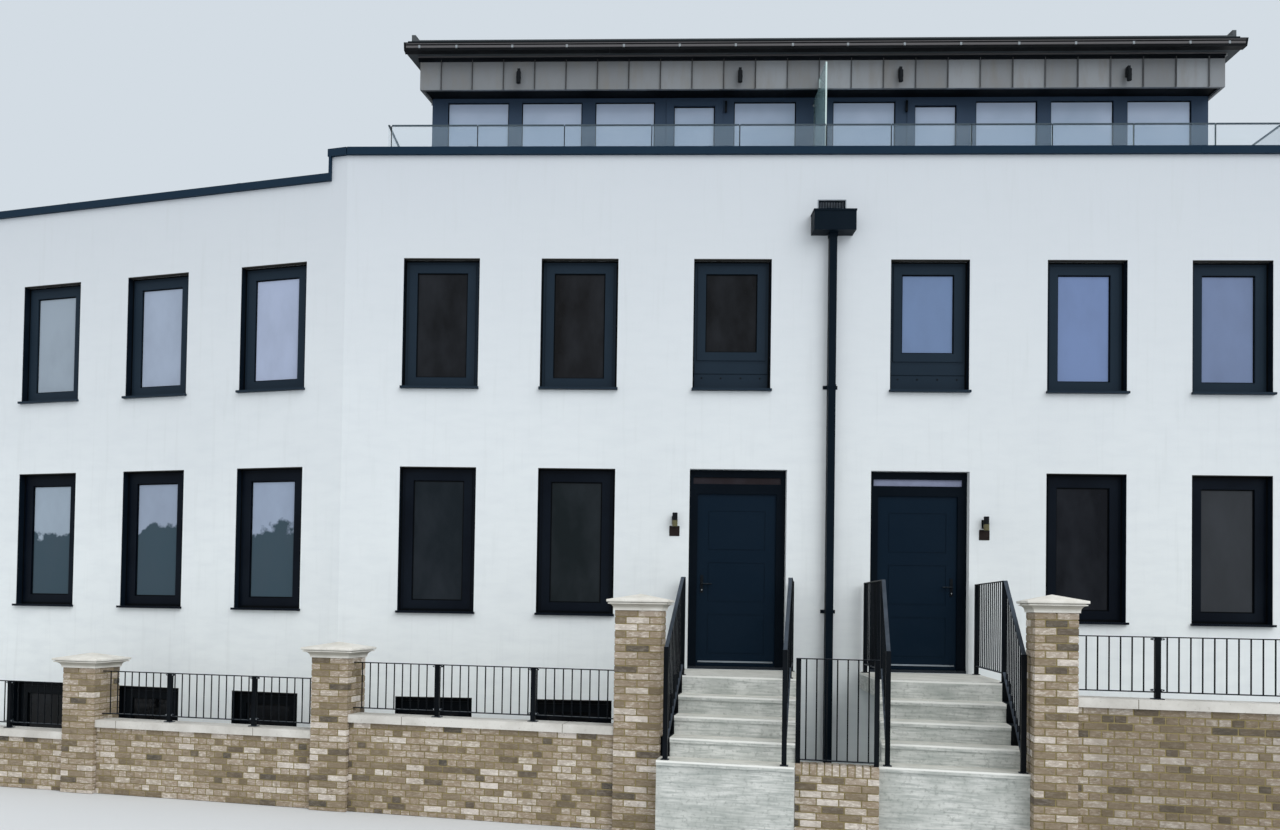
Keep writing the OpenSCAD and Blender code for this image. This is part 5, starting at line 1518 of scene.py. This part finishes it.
class PaintNodes(RowPiece, bpy.types.Operator):
    """Give every node of the model its finish"""
    bl_idname = "row.paint_nodes"
    bl_label = "Paint Nodes"

    def execute(self, context):
        missed = set(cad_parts).difference(*NODE_FINISH.values())
        if missed:
            raise RuntimeError("No finish for " + ", ".join(sorted(missed)))
        for key, names in NODE_FINISH.items():
            for name in names:
                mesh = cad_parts[name].data
                mesh.materials.clear()
                mesh.materials.append(finish_for(key))
        return {"FINISHED"}


# Studio

def set_camera():
    """The camera stands where the view was taken, a little left of the doors."""
    forward = Vector((math.sin(LOOK_TURN) * math.cos(LOOK_UP),
                      math.cos(LOOK_TURN) * math.cos(LOOK_UP),
                      math.sin(LOOK_UP)))
    right = Vector((math.cos(LOOK_TURN), -math.sin(LOOK_TURN), 0))
    up = right.cross(forward)
    right, up = (right * math.cos(LOOK_ROLL) + up * math.sin(LOOK_ROLL),
                 up * math.cos(LOOK_ROLL) - right * math.sin(LOOK_ROLL))
    data = bpy.data.cameras.new("street_camera")
    data.sensor_width = 36
    data.lens = FOCAL_PX / PICTURE_PX[0] * data.sensor_width
    data.shift_x = (PICTURE_PX[0] / 2 - MIDDLE_PX[0]) / PICTURE_PX[0]
    data.shift_y = (MIDDLE_PX[1] - PICTURE_PX[1] / 2) / PICTURE_PX[0]
    data.clip_end = 400
    camera = bpy.data.objects.new("street_camera", data)
    bpy.context.scene.collection.objects.link(camera)
    turn = Matrix((right, up, -forward)).transposed().to_4x4()
    camera.matrix_world = Matrix.Translation(EYE) @ turn
    bpy.context.scene.camera = camera


def seen_directly(tree):
    """1 where the camera, a reflection or glass looks at it, else 0."""
    rays = add(tree, "ShaderNodeLightPath").node.outputs
    seen = add(tree, "ShaderNodeMath", {
        0: rays["Is Camera Ray"], 1: rays["Is Glossy Ray"]}, operation="ADD")
    return add(tree, "ShaderNodeMath", {
        0: seen, 1: rays["Is Transmission Ray"]}, operation="ADD", use_clamp=True)


class SetStage(RowPiece, bpy.types.Operator):
    """Set the pale floor, the even light and the camera"""
    bl_idname = "row.set_stage"
    bl_label = "Set Stage"

    def execute(self, context):
        scene = context.scene
        studio = scene.row_studio
        scene.view_settings.view_transform = "Standard"
        scene.world = scene.world or bpy.data.worlds.new("studio_sky")
        scene.world.use_nodes = True
        tree = scene.world.node_tree
        tree.nodes.clear()
        even, plain = (add(tree, "ShaderNodeBackground", {
            "Color": colour, "Strength": strong}) for colour, strong in (
            ("#ffffff", studio.sky_light), (studio.sky, 1.0)))
        add(tree, "ShaderNodeOutputWorld", {"Surface": add(
            tree, "ShaderNodeMixShader", {
                0: seen_directly(tree), 1: even, 2: plain})})
        deselect()
        bpy.ops.mesh.primitive_circle_add(
            vertices=96, radius=90, fill_type="NGON", location=(0, 0, -0.002))
        floor = keep_place(context.object)
        floor.name = "studio_floor"
        # A plain, dead matt floor
        finish, _ = new_finish("matt_studio_floor", Roughness=0.95,
                               Base_Color=studio.floor, Specular_IOR_Level=0.1)
        floor.data.materials.append(finish)
        lamp = bpy.data.lights.new("soft_key", "SUN")
        lamp.energy = studio.key_light
        lamp.angle = math.radians(50)
        key = bpy.data.objects.new("soft_key", lamp)
        key.visible_glossy = False
        scene.collection.objects.link(key)
        aim = Vector((-0.5, 0.62, -0.6))
        key.rotation_euler = aim.to_track_quat("-Z", "Y").to_euler()
        set_camera()
        return {"FINISHED"}


STEPS = [LayWallBricks, LayPierBricks, SpreadMortar, MouldPierCaps, FitRailFixings,
         FitStepTrays, FitGlazingBeads, FitFrameSeals, FitPanelCaps, FitWeatherBars,
         FitLockFaces, FitPlates, FitRailGlassTrim, FitEavesTrim, FitTerracePulls,
         FitGutterClips, FitCopingStraps, FitOutletTrim, PaintNodes, SetStage]
GROUPS = {"row_bricks": BrickSizes, "row_trim": TrimSizes,
          "row_finishes": Finishes, "row_studio": Studio}


class HouseRowPanel(bpy.types.Panel):
    """Lists the settings and steps of the house row"""
    bl_idname = "VIEW3D_PT_house_row"
    bl_label = "House Row"
    bl_space_type = "VIEW_3D"
    bl_region_type = "UI"
    bl_category = "House Row"

    def draw(self, context):
        for name, kind in GROUPS.items():
            box = self.layout.box()
            for setting in kind.__annotations__:
                box.prop(getattr(context.scene, name), setting)
        for step in STEPS:
            self.layout.operator(step.bl_idname)


def register():
    for kind in (*GROUPS.values(), *STEPS, HouseRowPanel):
        bpy.utils.register_class(kind)
    for name, kind in GROUPS.items():
        setattr(bpy.types.Scene, name, bpy.props.PointerProperty(type=kind))


def unregister():
    for name in GROUPS:
        delattr(bpy.types.Scene, name)
    for kind in (HouseRowPanel, *reversed(STEPS), *GROUPS.values()):
        bpy.utils.unregister_class(kind)


def main():
    register()
    bpy.ops.row.lay_wall_bricks()
    bpy.ops.row.lay_pier_bricks()
    bpy.ops.row.spread_mortar()
    bpy.ops.row.mould_pier_caps()
    bpy.ops.row.fit_rail_fixings()
    bpy.ops.row.fit_step_trays()
    bpy.ops.row.fit_glazing_beads()
    bpy.ops.row.fit_frame_seals()
    bpy.ops.row.fit_panel_caps()
    bpy.ops.row.fit_weather_bars()
    bpy.ops.row.fit_lock_faces()
    bpy.ops.row.fit_plates()
    bpy.ops.row.fit_rail_glass_trim()
    bpy.ops.row.fit_eaves_trim()
    bpy.ops.row.fit_terrace_pulls()
    bpy.ops.row.fit_gutter_clips()
    bpy.ops.row.fit_coping_straps()
    bpy.ops.row.fit_outlet_trim()
    bpy.ops.row.paint_nodes()
    bpy.ops.row.set_stage()


if __name__ == "__main__":
    main()
